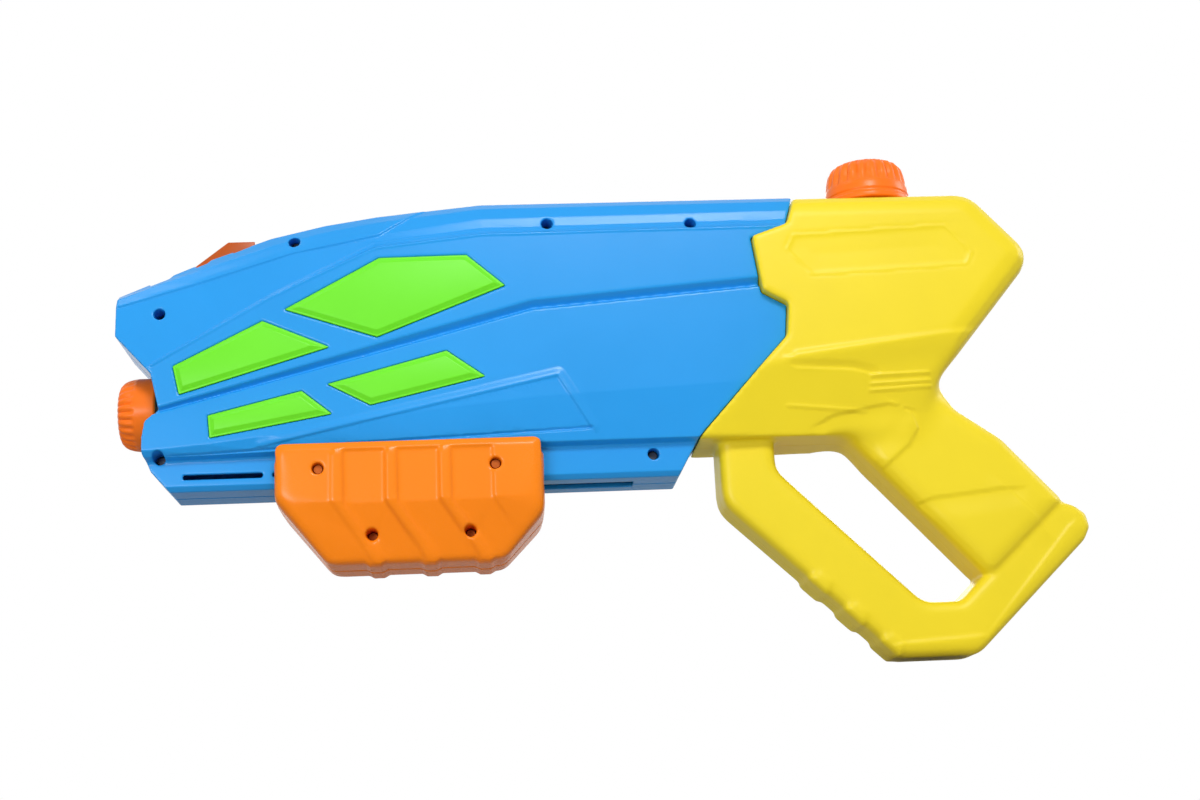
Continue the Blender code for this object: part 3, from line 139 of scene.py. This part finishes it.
world = bpy.data.worlds.new("tent")
bpy.context.scene.world = world
world.use_nodes = True
tent = Finish(world.node_tree)
tent.tree.nodes.clear()
path = tent.add("ShaderNodeLightPath")
rays = path.socket.node.outputs
seen = larger(tent, Signal(tent, rays["Is Camera Ray"]), Signal(tent, rays["Is Glossy Ray"]))
seen = larger(tent, seen, Signal(tent, rays["Is Transmission Ray"]))
tint = tent.add("ShaderNodeMix", {"data_type": "RGBA"}, {0: seen, 6: WORLD_GREY, 7: WHITE}, output=2)
glow = tent.add("ShaderNodeBackground", None, {"Color": tint, "Strength": 1.0})
tent.join(tent.tree.nodes.new("ShaderNodeOutputWorld"), {"Surface": glow})


def softbox(name, place, aim, width, height, watts):
    """A soft rectangular lamp that looks from its place at a point."""
    bpy.ops.object.light_add(type="AREA", location=place)
    lamp = bpy.context.object
    lamp.name = name
    lamp.data.shape = "RECTANGLE"
    lamp.data.size = width
    lamp.data.size_y = height
    lamp.data.energy = watts
    lamp.rotation_euler = (Vector(aim) - Vector(place)).to_track_quat("-Z", "Y").to_euler()


softbox("key", (0.15, -1.3, 1.0), (-0.03, 0, 0.15), 0.5, 0.35, 12)
softbox("fill", (-0.75, -1.4, 0.17), (-0.05, 0, 0.14), 0.7, 0.3, 8.3)
softbox("rim", (-0.6, -0.25, 1.2), (-0.1, 0, 0.15), 0.4, 0.15, 0.8)
softbox("back_light", (0.4, 1.3, 0.8), (0, 0, 0.15), 1.0, 0.6, 8)
softbox("end_light", (1.4, 0.1, 0.7), (0.2, 0, 0.15), 0.6, 0.6, 5)

FLOOR_SIZE = 12
FLOOR_Z = -0.003
FLOOR_PALE = (0.5, 0.5, 0.5, 1)
FLOOR_GLOW = 0.5
FLOOR_FADE = (0.6, 2.2)

bpy.ops.mesh.primitive_plane_add(size=FLOOR_SIZE, location=(0, 0, FLOOR_Z))
floor = bpy.context.object
floor.name = "floor"
floor_material = bpy.data.materials.new("floor")
floor_material.use_nodes = True
ground = Finish(floor_material.node_tree)
ground.tree.nodes.clear()
below = ground.add("ShaderNodeNewGeometry", None, None, output="Backfacing")
to_camera = ground.add("ShaderNodeLightPath", output="Is Camera Ray")
matt = ground.add("ShaderNodeBsdfDiffuse", None, {"Color": FLOOR_PALE})
light = ground.add("ShaderNodeEmission", None, {"Color": WHITE, "Strength": to_camera * FLOOR_GLOW})
lit = ground.add("ShaderNodeAddShader", None, {0: matt, 1: light})
clear = ground.add("ShaderNodeBsdfTransparent")
spot = ground.add("ShaderNodeTexCoord", output="Object")
reach = ground.add("ShaderNodeVectorMath", {"operation": "LENGTH"}, {0: spot}, output="Value")
near, far = FLOOR_FADE
clamped = {"operation": "MULTIPLY", "use_clamp": True}
fade = ground.add("ShaderNodeMath", clamped, {0: reach - near, 1: 1 / (far - near)})
skin = ground.add("ShaderNodeMixShader", None, {0: larger(ground, below, to_camera * fade), 1: lit, 2: clear})
ground.join(ground.tree.nodes.new("ShaderNodeOutputMaterial"), {"Surface": skin})
floor.data.materials.append(floor_material)

# Barrel shells
# Two blue clam-shell halves, injection moulded in glossy ABS and held by pan-head screws that go in from
# the left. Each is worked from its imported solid, with every moulded edge eased.
MERGE = 0.00001
BLUE = (0.018, 0.32, 0.8)
SHELL_VOXEL = 0.0006
SHELL_ROUNDS = 3
SHELL_TRIANGLES = 170000


def pick(piece):
    """Makes a piece the only selected one."""
    bpy.ops.object.select_all(action="DESELECT")
    piece.select_set(True)
    bpy.context.view_layer.objects.active = piece


def shape_with(piece, kind, **settings):
    """Adds a modifier to a piece and applies it."""
    pick(piece)
    modifier = piece.modifiers.new(kind.title(), kind)
    for name, value in settings.items():
        setattr(modifier, name, value)
    bpy.ops.object.modifier_apply(modifier=modifier.name)


def worked_copy(node, name):
    """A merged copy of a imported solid, to be worked on."""
    piece = bpy.data.objects.new(name, frame["nodes"][node].data.copy())
    bpy.context.scene.collection.objects.link(piece)
    piece.data.materials.clear()
    pick(piece)
    bpy.ops.object.mode_set(mode="EDIT")
    bpy.ops.mesh.select_all(action="SELECT")
    bpy.ops.mesh.remove_doubles(threshold=MERGE)
    bpy.ops.object.mode_set(mode="OBJECT")
    return piece


FAR = 1e6
MM = 1000


def skin_of(piece):
    """A piece's points and the ways they face, one row each."""
    places = np.empty(len(piece.data.vertices) * 3)
    facing = np.empty(len(piece.data.vertices) * 3)
    piece.data.vertices.foreach_get("co", places)
    piece.data.vertex_normals.foreach_get("vector", facing)
    return places.reshape(-1, 3), facing.reshape(-1, 3)


def put_back(piece, places):
    """Moves a piece's points to new places."""
    piece.data.vertices.foreach_set("co", places.ravel())
    piece.data.update()


def off_line(points, x, z):
    """How far places in the side view lie from a line: above zero on its right, below on its left."""
    nearest = np.full(len(x), FAR)
    signed = np.full(len(x), FAR)
    for (x0, z0), (x1, z1) in zip(points, points[1:]):
        run, rise = x1 - x0, z1 - z0
        along = np.clip(((x - x0) * run + (z - z0) * rise) / (run * run + rise * rise), 0, 1)
        gap = np.hypot(x - x0 - along * run, z - z0 - along * rise)
        right = np.where((x - x0) * rise - (z - z0) * run > 0, 1.0, -1.0)
        signed = np.where(gap < nearest, gap * right, signed)
        nearest = np.minimum(gap, nearest)
    return signed


def emboss(piece, marks):
    """Raises or sinks fine lines on both outer sides: each falls away over its own widths left and right."""
    places, facing = skin_of(piece)
    outward = np.sign(places[:, 1]) * facing[:, 1]
    outer = np.clip((outward - 0.25) / 0.35, 0, 1) * np.sign(places[:, 1])
    x, y, z = places.T * MM
    rise = np.zeros(len(x))
    for points, left, right, height in marks:
        signed = off_line(points, x, z)
        share = np.clip(np.where(signed > 0, signed / right, -signed / left), 0, 1)
        rise += height * (0.5 + 0.5 * np.cos(np.pi * share))
    places[:, 1] += outer * rise / MM
    put_back(piece, places)


def soften(piece, line, reach, rounds, spared=0):
    """Relaxes the skin along a line in the side view into a wide fillet, but for a spared middle width."""
    places, facing = skin_of(piece)
    x, y, z = places.T * MM
    weight = np.clip(1.5 - 1.5 * np.abs(off_line(line, x, z)) / reach, 0, 1)
    if spared:
        weight *= np.clip((np.abs(y) - spared) / 4, 0, 1)
    soft = piece.vertex_groups.new(name="soft")
    for index in np.flatnonzero(weight > 0.01):
        soft.add([int(index)], float(weight[index]), "REPLACE")
    shape_with(piece, "SMOOTH", factor=0.5, iterations=rounds, vertex_group="soft")
    piece.vertex_groups.clear()


def round_corner(piece, corner, inward, radius):
    """Rounds a corner of the side view: what lies past the arc is drawn back on to it."""
    centre = np.array(corner) + np.array(inward) * radius
    for vertex in piece.data.vertices:
        out_x = (vertex.co.x * MM - centre[0]) * -inward[0]
        out_z = (vertex.co.z * MM - centre[1]) * -inward[1]
        reach = math.hypot(out_x, out_z)
        if out_x > 0 and out_z > 0 and reach > radius:
            vertex.co.x = (centre[0] - inward[0] * out_x * radius / reach) / MM
            vertex.co.z = (centre[1] - inward[1] * out_z * radius / reach) / MM


def ease(piece, voxel, rounds, limit, marks=(), soft_lines=(), corners=()):
    """Rounds every edge as a mould does: an even skin over the shape, relaxed a few times."""
    shape_with(piece, "REMESH", mode="VOXEL", voxel_size=voxel, use_smooth_shade=True)
    for corner in corners:
        round_corner(piece, *corner)
    shape_with(piece, "SMOOTH", factor=0.5, iterations=rounds)
    for soft_line in soft_lines:
        soften(piece, *soft_line)
    if marks:
        emboss(piece, marks)
    triangles = len(piece.data.polygons) * 2
    if triangles > limit:
        shape_with(piece, "DECIMATE", ratio=limit / triangles)
    pick(piece)
    bpy.ops.object.shade_smooth()
    shape_with(piece, "WEIGHTED_NORMAL", mode="FACE_AREA", weight=100)


SEAM_HALF_WIDTH = 0.0006
SHEEN = 0.25


def moulded(name, colour, roughness, peel=0.00002, grain=0.0, seam=0.0):
    """Moulded plastic: faint flow clouds, a slight orange peel and, where wanted, fine grain or a mould seam."""
    material = bpy.data.materials.new(name)
    material.use_nodes = True
    finish = Finish(material.node_tree)
    shader = finish.tree.nodes["Principled BSDF"]
    place = finish.add("ShaderNodeTexCoord", output="Object")
    cloud = finish.add("ShaderNodeTexNoise", None, {"Vector": place, "Scale": 18.0, "Detail": 3.0})
    skin_wave = finish.add("ShaderNodeTexNoise", None, {"Vector": place, "Scale": 260.0, "Detail": 2.0})
    spark = finish.add("ShaderNodeTexNoise", None, {"Vector": place, "Scale": 2600.0, "Detail": 1.0})
    deep = tuple(channel * 0.93 for channel in colour) + (1,)
    light = tuple(min(channel * 1.04, 1) for channel in colour) + (1,)
    tone = finish.add("ShaderNodeMix", {"data_type": "RGBA"}, {0: cloud, 6: deep, 7: light}, output=2)
    height = skin_wave * peel + spark * grain
    if seam:
        depth_way = finish.add("ShaderNodeSeparateXYZ", None, {"Vector": place}, output="Y")
        off_seam = finish.add("ShaderNodeMath", {"operation": "ABSOLUTE"}, {0: depth_way})
        clamped = {"operation": "SUBTRACT", "use_clamp": True}
        ridge = finish.add("ShaderNodeMath", clamped, {0: 1.0, 1: off_seam * (1 / SEAM_HALF_WIDTH)})
        height = height + ridge * seam
    bump = finish.add("ShaderNodeBump", None, {"Strength": 1.0, "Distance": 1.0, "Height": height})
    finish.join(shader, {
        "Base Color": tone,
        "Roughness": (cloud - 0.5) * 0.08 + (spark - 0.5) * 0.06 + roughness,
        "Normal": bump,
        "Specular IOR Level": SHEEN,
    })
    return material


def dress(piece, material, body, slot, *nodes):
    """Gives a finished piece its material and its place in the toy."""
    piece.data.materials.append(material)
    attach(piece, body)
    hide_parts(*nodes)


# Fine lines of the mould in the side view, in millimetres: points, widths to left and right, height.
BARREL_MARKS = [
    ([(-256.1, 199.4), (-211.2, 212.3), (-163.8, 227.4), (-137.9, 232.2), (-118.4, 236.3), (-92, 253)], 9, 0.9, 0.75),
    ([(-259.5, 153.3), (-237.5, 166.3), (-176.3, 202.3), (-120.9, 230.7), (-63.5, 237), (112, 238)], 1.1, 1.1, 0.5),
    ([(-237.5, 165.7), (-176.5, 200.8), (-120.5, 227.2), (-63.5, 233.5), (112, 234.5)], 1.1, 1.1, 0.45),
    ([(-229.5, 117.3), (-176.5, 119.5), (-8, 126)], 1.1, 1.1, -1.1),
    ([(-181, 121.2), (-112.5, 136), (-25, 154.5), (-8, 126)], 5, 1.0, 0.8),
]

blue = moulded("blue shell plastic", BLUE, 0.24)
for side in ("left", "right"):
    shell = worked_copy(f"{side}_barrel_shell", f"{side}_barrel_moulding")
    ease(shell, SHELL_VOXEL, SHELL_ROUNDS, SHELL_TRIANGLES, BARREL_MARKS)
    dress(shell, blue, "blaster", "blue", f"{side}_barrel_shell")

# Inlays
# Eight green plates with a wide chamfer, injection moulded in a matter plastic than the shells and snapped
# into pockets in them, four on each side.
GREEN = (0.16, 0.78, 0.018)
INLAY_EDGE = 0.0004

green = moulded("green inlay plastic", GREEN, 0.36, grain=0.000012)


def edged(piece, width, segments=3, angle=25):
    """Turns a solid's triangles into clean faces and rounds its edges."""
    pick(piece)
    bpy.ops.object.mode_set(mode="EDIT")
    bpy.ops.mesh.select_all(action="SELECT")
    bpy.ops.mesh.dissolve_limited(angle_limit=math.radians(1))
    bpy.ops.object.mode_set(mode="OBJECT")
    shape_with(piece, "BEVEL", width=width, segments=segments, angle_limit=math.radians(angle))
    pick(piece)
    bpy.ops.object.shade_smooth_by_angle(angle=math.radians(40))


for side in ("left", "right"):
    for level_name in ("upper", "lower"):
        for end in ("front", "rear"):
            node = f"{side}_{level_name}_{end}_inlay"
            plate = worked_copy(node, f"{side}_{level_name}_{end}_plate")
            edged(plate, INLAY_EDGE)
            dress(plate, green, "blaster", "green", node)

# Sight
# A ramp moulded in a darker orange plastic, which stands in the top seam and is clamped by its flange
# between the two shells.
SIGHT_ORANGE = (0.5, 0.085, 0.006)
SIGHT_EDGE = 0.0005

sight_plastic = moulded("sight plastic", SIGHT_ORANGE, 0.35)
ramp = worked_copy("top_sight", "sight_ramp")
edged(ramp, SIGHT_EDGE)
dress(ramp, sight_plastic, "blaster", "orange", "top_sight")

# Nozzle
# A cap moulded in orange plastic and screwed on the spout, with scallops round its rim to grip it by. It is
# drawn out ring by ring, from its face to its open end.
CAP_ORANGE = (1.0, 0.185, 0.008)
NOZZLE_RINGS = [
    (0.0, 0.0024), (0.0, 0.013), (0.0003, 0.0146), (0.0011, 0.0162), (0.0024, 0.0174), (0.0042, 0.0184),
    (0.0066, 0.0191), (0.0082, 0.0194), (0.0096, 0.0196), (0.0196, 0.0196), (0.0206, 0.0188),
    (0.0206, 0.0099), (0.0046, 0.0099), (0.0046, 0.0024),
]
NOZZLE_SCALLOPS = 26
NOZZLE_SCALLOP_DEPTH = 0.0012
NOZZLE_SCALLOP_RUN = (-0.0008, 0.0098)
NOZZLE_FACE = 0.012

cap_orange = moulded("cap plastic", CAP_ORANGE, 0.3)


def drawn(name, rings, sides=160, filled=False):
    """A round piece on the Z axis, drawn out ring by ring through (height, radius) from its first ring."""
    bpy.ops.object.select_all(action="DESELECT")
    height, radius = rings[0]
    fill = "NGON" if filled else "NOTHING"
    bpy.ops.mesh.primitive_circle_add(vertices=sides, radius=radius, fill_type=fill, location=(0, 0, height))
    piece = bpy.context.object
    piece.name = name
    bpy.ops.object.mode_set(mode="EDIT")
    bpy.ops.mesh.select_all(action="SELECT")
    for (z0, r0), (z1, r1) in zip(rings, rings[1:]):
        bpy.ops.mesh.extrude_region_move(TRANSFORM_OT_translate={"value": (0, 0, z1 - z0)})
        bpy.ops.transform.resize(value=(r1 / r0, r1 / r0, 1), center_override=(0, 0, z1))
    if not filled:
        end, wide = rings[-1]
        bpy.ops.mesh.extrude_region_move(TRANSFORM_OT_translate={"value": (0, 0, height - end)})
        bpy.ops.transform.resize(value=(radius / wide, radius / wide, 1), center_override=(0, 0, height))
    bpy.ops.mesh.select_all(action="SELECT")
    bpy.ops.mesh.remove_doubles(threshold=MERGE)
    bpy.ops.mesh.normals_make_consistent(inside=False)
    bpy.ops.object.mode_set(mode="OBJECT")
    bpy.ops.object.transform_apply(location=True, rotation=True, scale=True)
    return piece


def scallop(piece, count, depth, low, high, inner):
    """Presses grip scallops into the outside of a round piece between two heights."""
    for vertex in piece.data.vertices:
        x, y, z = vertex.co
        radius = math.hypot(x, y)
        if radius < inner or not low <= z <= high:
            continue
        wave = abs(math.sin(math.atan2(y, x) * count / 2))
        fade = min(1, (z - low) / 0.0008, (high - z) / 0.0022)
        keep = 1 - depth * max(fade, 0) * (1 - wave) / radius
        vertex.co.x *= keep
        vertex.co.y *= keep


def rounded_rings(rings, steps=3, share=0.3):
    """A ring list with its corners cut by short arcs, for softly moulded edges."""
    points = [Vector(ring) for ring in rings]
    out = [points[0]]
    for before, here, after in zip(points, points[1:], points[2:]):
        reach = min((before - here).length, (after - here).length) * share
        start = here + (before - here).normalized() * reach
        end = here + (after - here).normalized() * reach
        for step in range(steps + 1):
            t = step / steps
            out.append(start * (1 - t) ** 2 + here * 2 * t * (1 - t) + end * t ** 2)
    out.append(points[-1])
    return [tuple(point) for point in out]


nozzle_low, nozzle_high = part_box("nozzle")
nozzle = drawn("nozzle_cap", rounded_rings(NOZZLE_RINGS))
scallop(nozzle, NOZZLE_SCALLOPS, NOZZLE_SCALLOP_DEPTH, *NOZZLE_SCALLOP_RUN, NOZZLE_FACE)
nozzle_place = Matrix.Translation((nozzle_low.x, 0, (nozzle_low.z + nozzle_high.z) / 2))
nozzle.data.transform(nozzle_place @ Matrix.Rotation(math.pi / 2, 4, "Y"))
pick(nozzle)
bpy.ops.object.shade_smooth_by_angle(angle=math.radians(50))
dress(nozzle, cap_orange, "nozzle", "cap_orange", "nozzle")

# Pump
# An orange fore-end, injection moulded in glossy plastic in two halves. They are screwed together round a
# white slider that runs on the barrel's rail, and their raised ribs run on under the fore-end.
ORANGE = (0.98, 0.24, 0.004)
PUMP_VOXEL = 0.0007
PUMP_ROUNDS = 12
PUMP_TRIANGLES = 120000
PUMP_MARKS = [
    ([(-143.4, 114), (-143.7, 90.6), (-120.6, 56.8)], 7.5, 3, 0.8),
    ([(-115.4, 114), (-115.7, 90.6), (-92.6, 56.8)], 7.5, 3, 0.8),
    ([(-87.4, 114), (-87.7, 90.6), (-64.6, 56.8)], 7.5, 3, 0.8),
]
PUMP_CORNERS = [((-174.8, 121.7), (1, -1), 7), ((-34.2, 121.7), (-1, -1), 7)]
PUMP_KEEL = [
    ([(-174.8, 101), (-174.8, 92), (-147.5, 58.3), (-56.2, 58.3), (-34.2, 82), (-34.2, 91)], 15, 130, 10),
]
PUMP_LEAN = (88, 58.3, 0.84)
PUMP_LOBES = (-123.3, -94.8, -66.3)
LOBE_HALF = 5.5
LOBE_DROP = 1.5
LOBE_TOP = 0.066

orange = moulded("pump plastic", ORANGE, 0.26)


def lean_in(piece, start, end, share):
    """Draws a piece in towards the middle, more and more from one height down to another."""
    places, facing = skin_of(piece)
    down = np.clip((start - places[:, 2] * MM) / (start - end), 0, 1)
    places[:, 1] *= 1 - (1 - share) * down * down * (3 - 2 * down)
    put_back(piece, places)


def drop_lobes(piece, ribs, half, drop):
    """Carries the ribs round under the piece, as low lobes on its bottom."""
    places, facing = skin_of(piece)
    under = np.clip(-facing[:, 2], 0, 1) * (places[:, 2] < LOBE_TOP)
    for rib in ribs:
        away = np.clip(np.abs(places[:, 0] * MM - rib) / half, 0, 1)
        places[:, 2] -= under * np.clip(2 - 2 * away, 0, 1) * drop / MM
    put_back(piece, places)


for side in ("left", "right"):
    grip_half = worked_copy(f"{side}_pump_shell", f"{side}_pump_moulding")
    lean_in(grip_half, *PUMP_LEAN)
    ease(grip_half, PUMP_VOXEL, PUMP_ROUNDS, PUMP_TRIANGLES, PUMP_MARKS, PUMP_KEEL, PUMP_CORNERS)
    drop_lobes(grip_half, PUMP_LOBES, LOBE_HALF, LOBE_DROP)
    dress(grip_half, orange, "pump", "orange", f"{side}_pump_shell")

# Tank
# One blow-moulded piece in soft yellow: tank, grip and hand loop, hollow right through, with the
# wide radii and shallow relief that blowing leaves.
YELLOW = (0.89, 0.7, 0.02)
TANK_VOXEL = 0.0011
TANK_ROUNDS = 10
TANK_TRIANGLES = 190000
BADGE = [
    (100.5, 218.9), (113.5, 204.4), (199.1, 208), (202.5, 215.1), (188.5, 231.1), (104.8, 227.3), (100.5, 218.9),
]
TANK_MARKS = [
    ([(102.5, 159.8), (188.5, 169.5), (215, 172.5)], 3.5, 12, 0.9),
    ([(101, 154.5), (132.5, 153), (143.5, 150.3)], 4.5, 1.6, -0.9),
    ([(143, 148.6), (174, 149.8)], 1.6, 1.4, 0.9),
    ([(142.4, 144.2), (174.5, 145.6)], 1.6, 1.4, 0.9),
    ([(142, 140.9), (175, 142.7)], 1.6, 1.4, 0.9),
    ([(97, 134), (138.5, 130.5)], 1.5, 1.5, 0.7),
    ([(118, 126.5), (121.7, 128), (142.5, 132), (152, 133.3), (158.5, 132)], 1.3, 13, -1.1),
    ([(158.5, 132), (163.1, 129.1), (166.5, 120.9), (161.8, 113), (143.3, 97.5)], 1.3, 13, 1.1),
    ([(160.9, 78.6), (171.4, 82.2), (212.9, 86.5)], 1.3, 14, -1.0),
    ([(212.9, 86.5), (230.8, 67.1)], 1.3, 14, 0.6),
    ([(150, 6.6), (196, 9.2), (246, 66)], 1.5, 8, 0.6),
    (BADGE, 30, 0.3, 0.5),
]
TANK_FILLETS = [
    ([(182, 150), (166.5, 119), (130, 119)], 14, 160),
    (BADGE, 3, 3),
]
NECK_PLUG = (0.0146, 0.02)
NECK_PLUG_DROP = 0.006
OUTLET_PLUG = (0.0082, 0.006)
OUTLET_PLUG_X = 0.0652

yellow = moulded("tank plastic", YELLOW, 0.36, peel=0.00004, seam=0.0004)
tank = worked_copy("tank", "tank_blow_moulding")
cap_low, cap_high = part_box("tank_cap")
cap_x = (cap_low.x + cap_high.x) / 2
outlet_low, outlet_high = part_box("tank_outlet")
line_z = (outlet_low.z + outlet_high.z) / 2


def plug(piece, radius, depth, place, along):
    """Stops a hole with a round plug, so that the hollow behind it is left out of the skin."""
    pick(piece)
    bpy.ops.mesh.primitive_cylinder_add(vertices=48, radius=radius, depth=depth, location=place)
    stopper = bpy.context.object
    stopper.rotation_euler = Vector(along).to_track_quat("Z", "Y").to_euler()
    pick(piece)
    stopper.select_set(True)
    bpy.ops.object.join()


plug(tank, *NECK_PLUG, (cap_x, 0, cap_low.z - NECK_PLUG_DROP), (0, 0, 1))
plug(tank, *OUTLET_PLUG, (OUTLET_PLUG_X, 0, line_z), (1, 0, 0))
ease(tank, TANK_VOXEL, TANK_ROUNDS, TANK_TRIANGLES, TANK_MARKS, TANK_FILLETS)
dress(tank, yellow, "blaster", "yellow", "tank")

# Tank cap
# A cap moulded in orange plastic and screwed on the tank's neck: a collar at its foot, a smooth waist and a
# scalloped cone that fingers grip.
CAP_RINGS = [
    (0.0184, 0.0169), (0.0, 0.0169), (0.0, 0.0238), (0.0007, 0.0243), (0.0028, 0.0243), (0.0036, 0.0233),
    (0.0048, 0.0231), (0.0058, 0.0236), (0.0092, 0.0232), (0.0108, 0.0228), (0.0168, 0.0219), (0.0208, 0.0208),
    (0.0236, 0.0186), (0.0246, 0.0158), (0.0246, 0.0004),
]
CAP_SCALLOPS = 22
CAP_SCALLOP_DEPTH = 0.0017
CAP_SCALLOP_RUN = (0.0108, 0.0262)
CAP_INSIDE = 0.0172

cap = drawn("cap_moulding", rounded_rings(CAP_RINGS), filled=True)
scallop(cap, CAP_SCALLOPS, CAP_SCALLOP_DEPTH, *CAP_SCALLOP_RUN, CAP_INSIDE)
cap.data.transform(Matrix.Translation((cap_x, 0, cap_low.z)))
pick(cap)
bpy.ops.object.shade_smooth_by_angle(angle=math.radians(50))
dress(cap, cap_orange, "tank_cap", "cap_orange", "tank_cap")

# Screws
# Pan heads with a cross recess, all of one size, at the bottom of their holes. The barrel's are black zinc
# plated; the pump's are metal painted the dark orange of the shaded orange holes round them, which is painted shade;
# the spring and the ball in the water line are plain zinc.
BLACK_ZINC = (0.05, 0.055, 0.07, 1)
# Painted shade: a dark orange for the pump's screw heads, the colour of the shaded orange holes they sit in.
HOLE_SHADE_ORANGE = (0.3, 0.07, 0.015, 1)
BRIGHT_ZINC = (0.6, 0.6, 0.62, 1)


def plated(name, colour):
    """Zinc plate: metal whose polish varies a little over the surface."""
    material = bpy.data.materials.new(name)
    material.use_nodes = True
    finish = Finish(material.node_tree)
    place = finish.add("ShaderNodeTexCoord", output="Object")
    cloud = finish.add("ShaderNodeTexNoise", None, {"Vector": place, "Scale": 900.0, "Detail": 3.0})
    finish.join(finish.tree.nodes["Principled BSDF"], {
        "Base Color": colour,
        "Metallic": 1.0,
        "Roughness": cloud * 0.25 + 0.35,
    })
    return material


black_zinc = plated("black zinc plate", BLACK_ZINC)
hole_shade_metal = plated("yellow zinc plate", HOLE_SHADE_ORANGE)
bright_zinc = plated("bright zinc plate", BRIGHT_ZINC)

# Inner works
# The slider, piston and pipes in natural white acetal and polyethylene, black rubber seals and a pale hose.
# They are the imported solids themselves, pressed or screwed into each other, with the finish they come with.
white = moulded("natural inner plastic", (0.78, 0.78, 0.74), 0.42)
rubber = moulded("seal rubber", (0.025, 0.025, 0.026), 0.62, grain=0.00001)
hose = moulded("hose", (0.74, 0.79, 0.77), 0.25)
INNER = {"white": white, "rubber": rubber, "hose": hose, "steel": bright_zinc, "dark_steel": black_zinc}
slots = {entry["node"]: entry["material_slot"] for entry in frame["record"]["subparts"]}
for name, node in frame["nodes"].items():
    if slots[name] in INNER and not node.hide_render:
        node.data.materials.clear()
        # The pump's screw heads get the metal with the holes' dark orange shade painted in.
        in_pump = "pump" in name and "screw" in name
        node.data.materials.append(hole_shade_metal if in_pump else INNER[slots[name]])
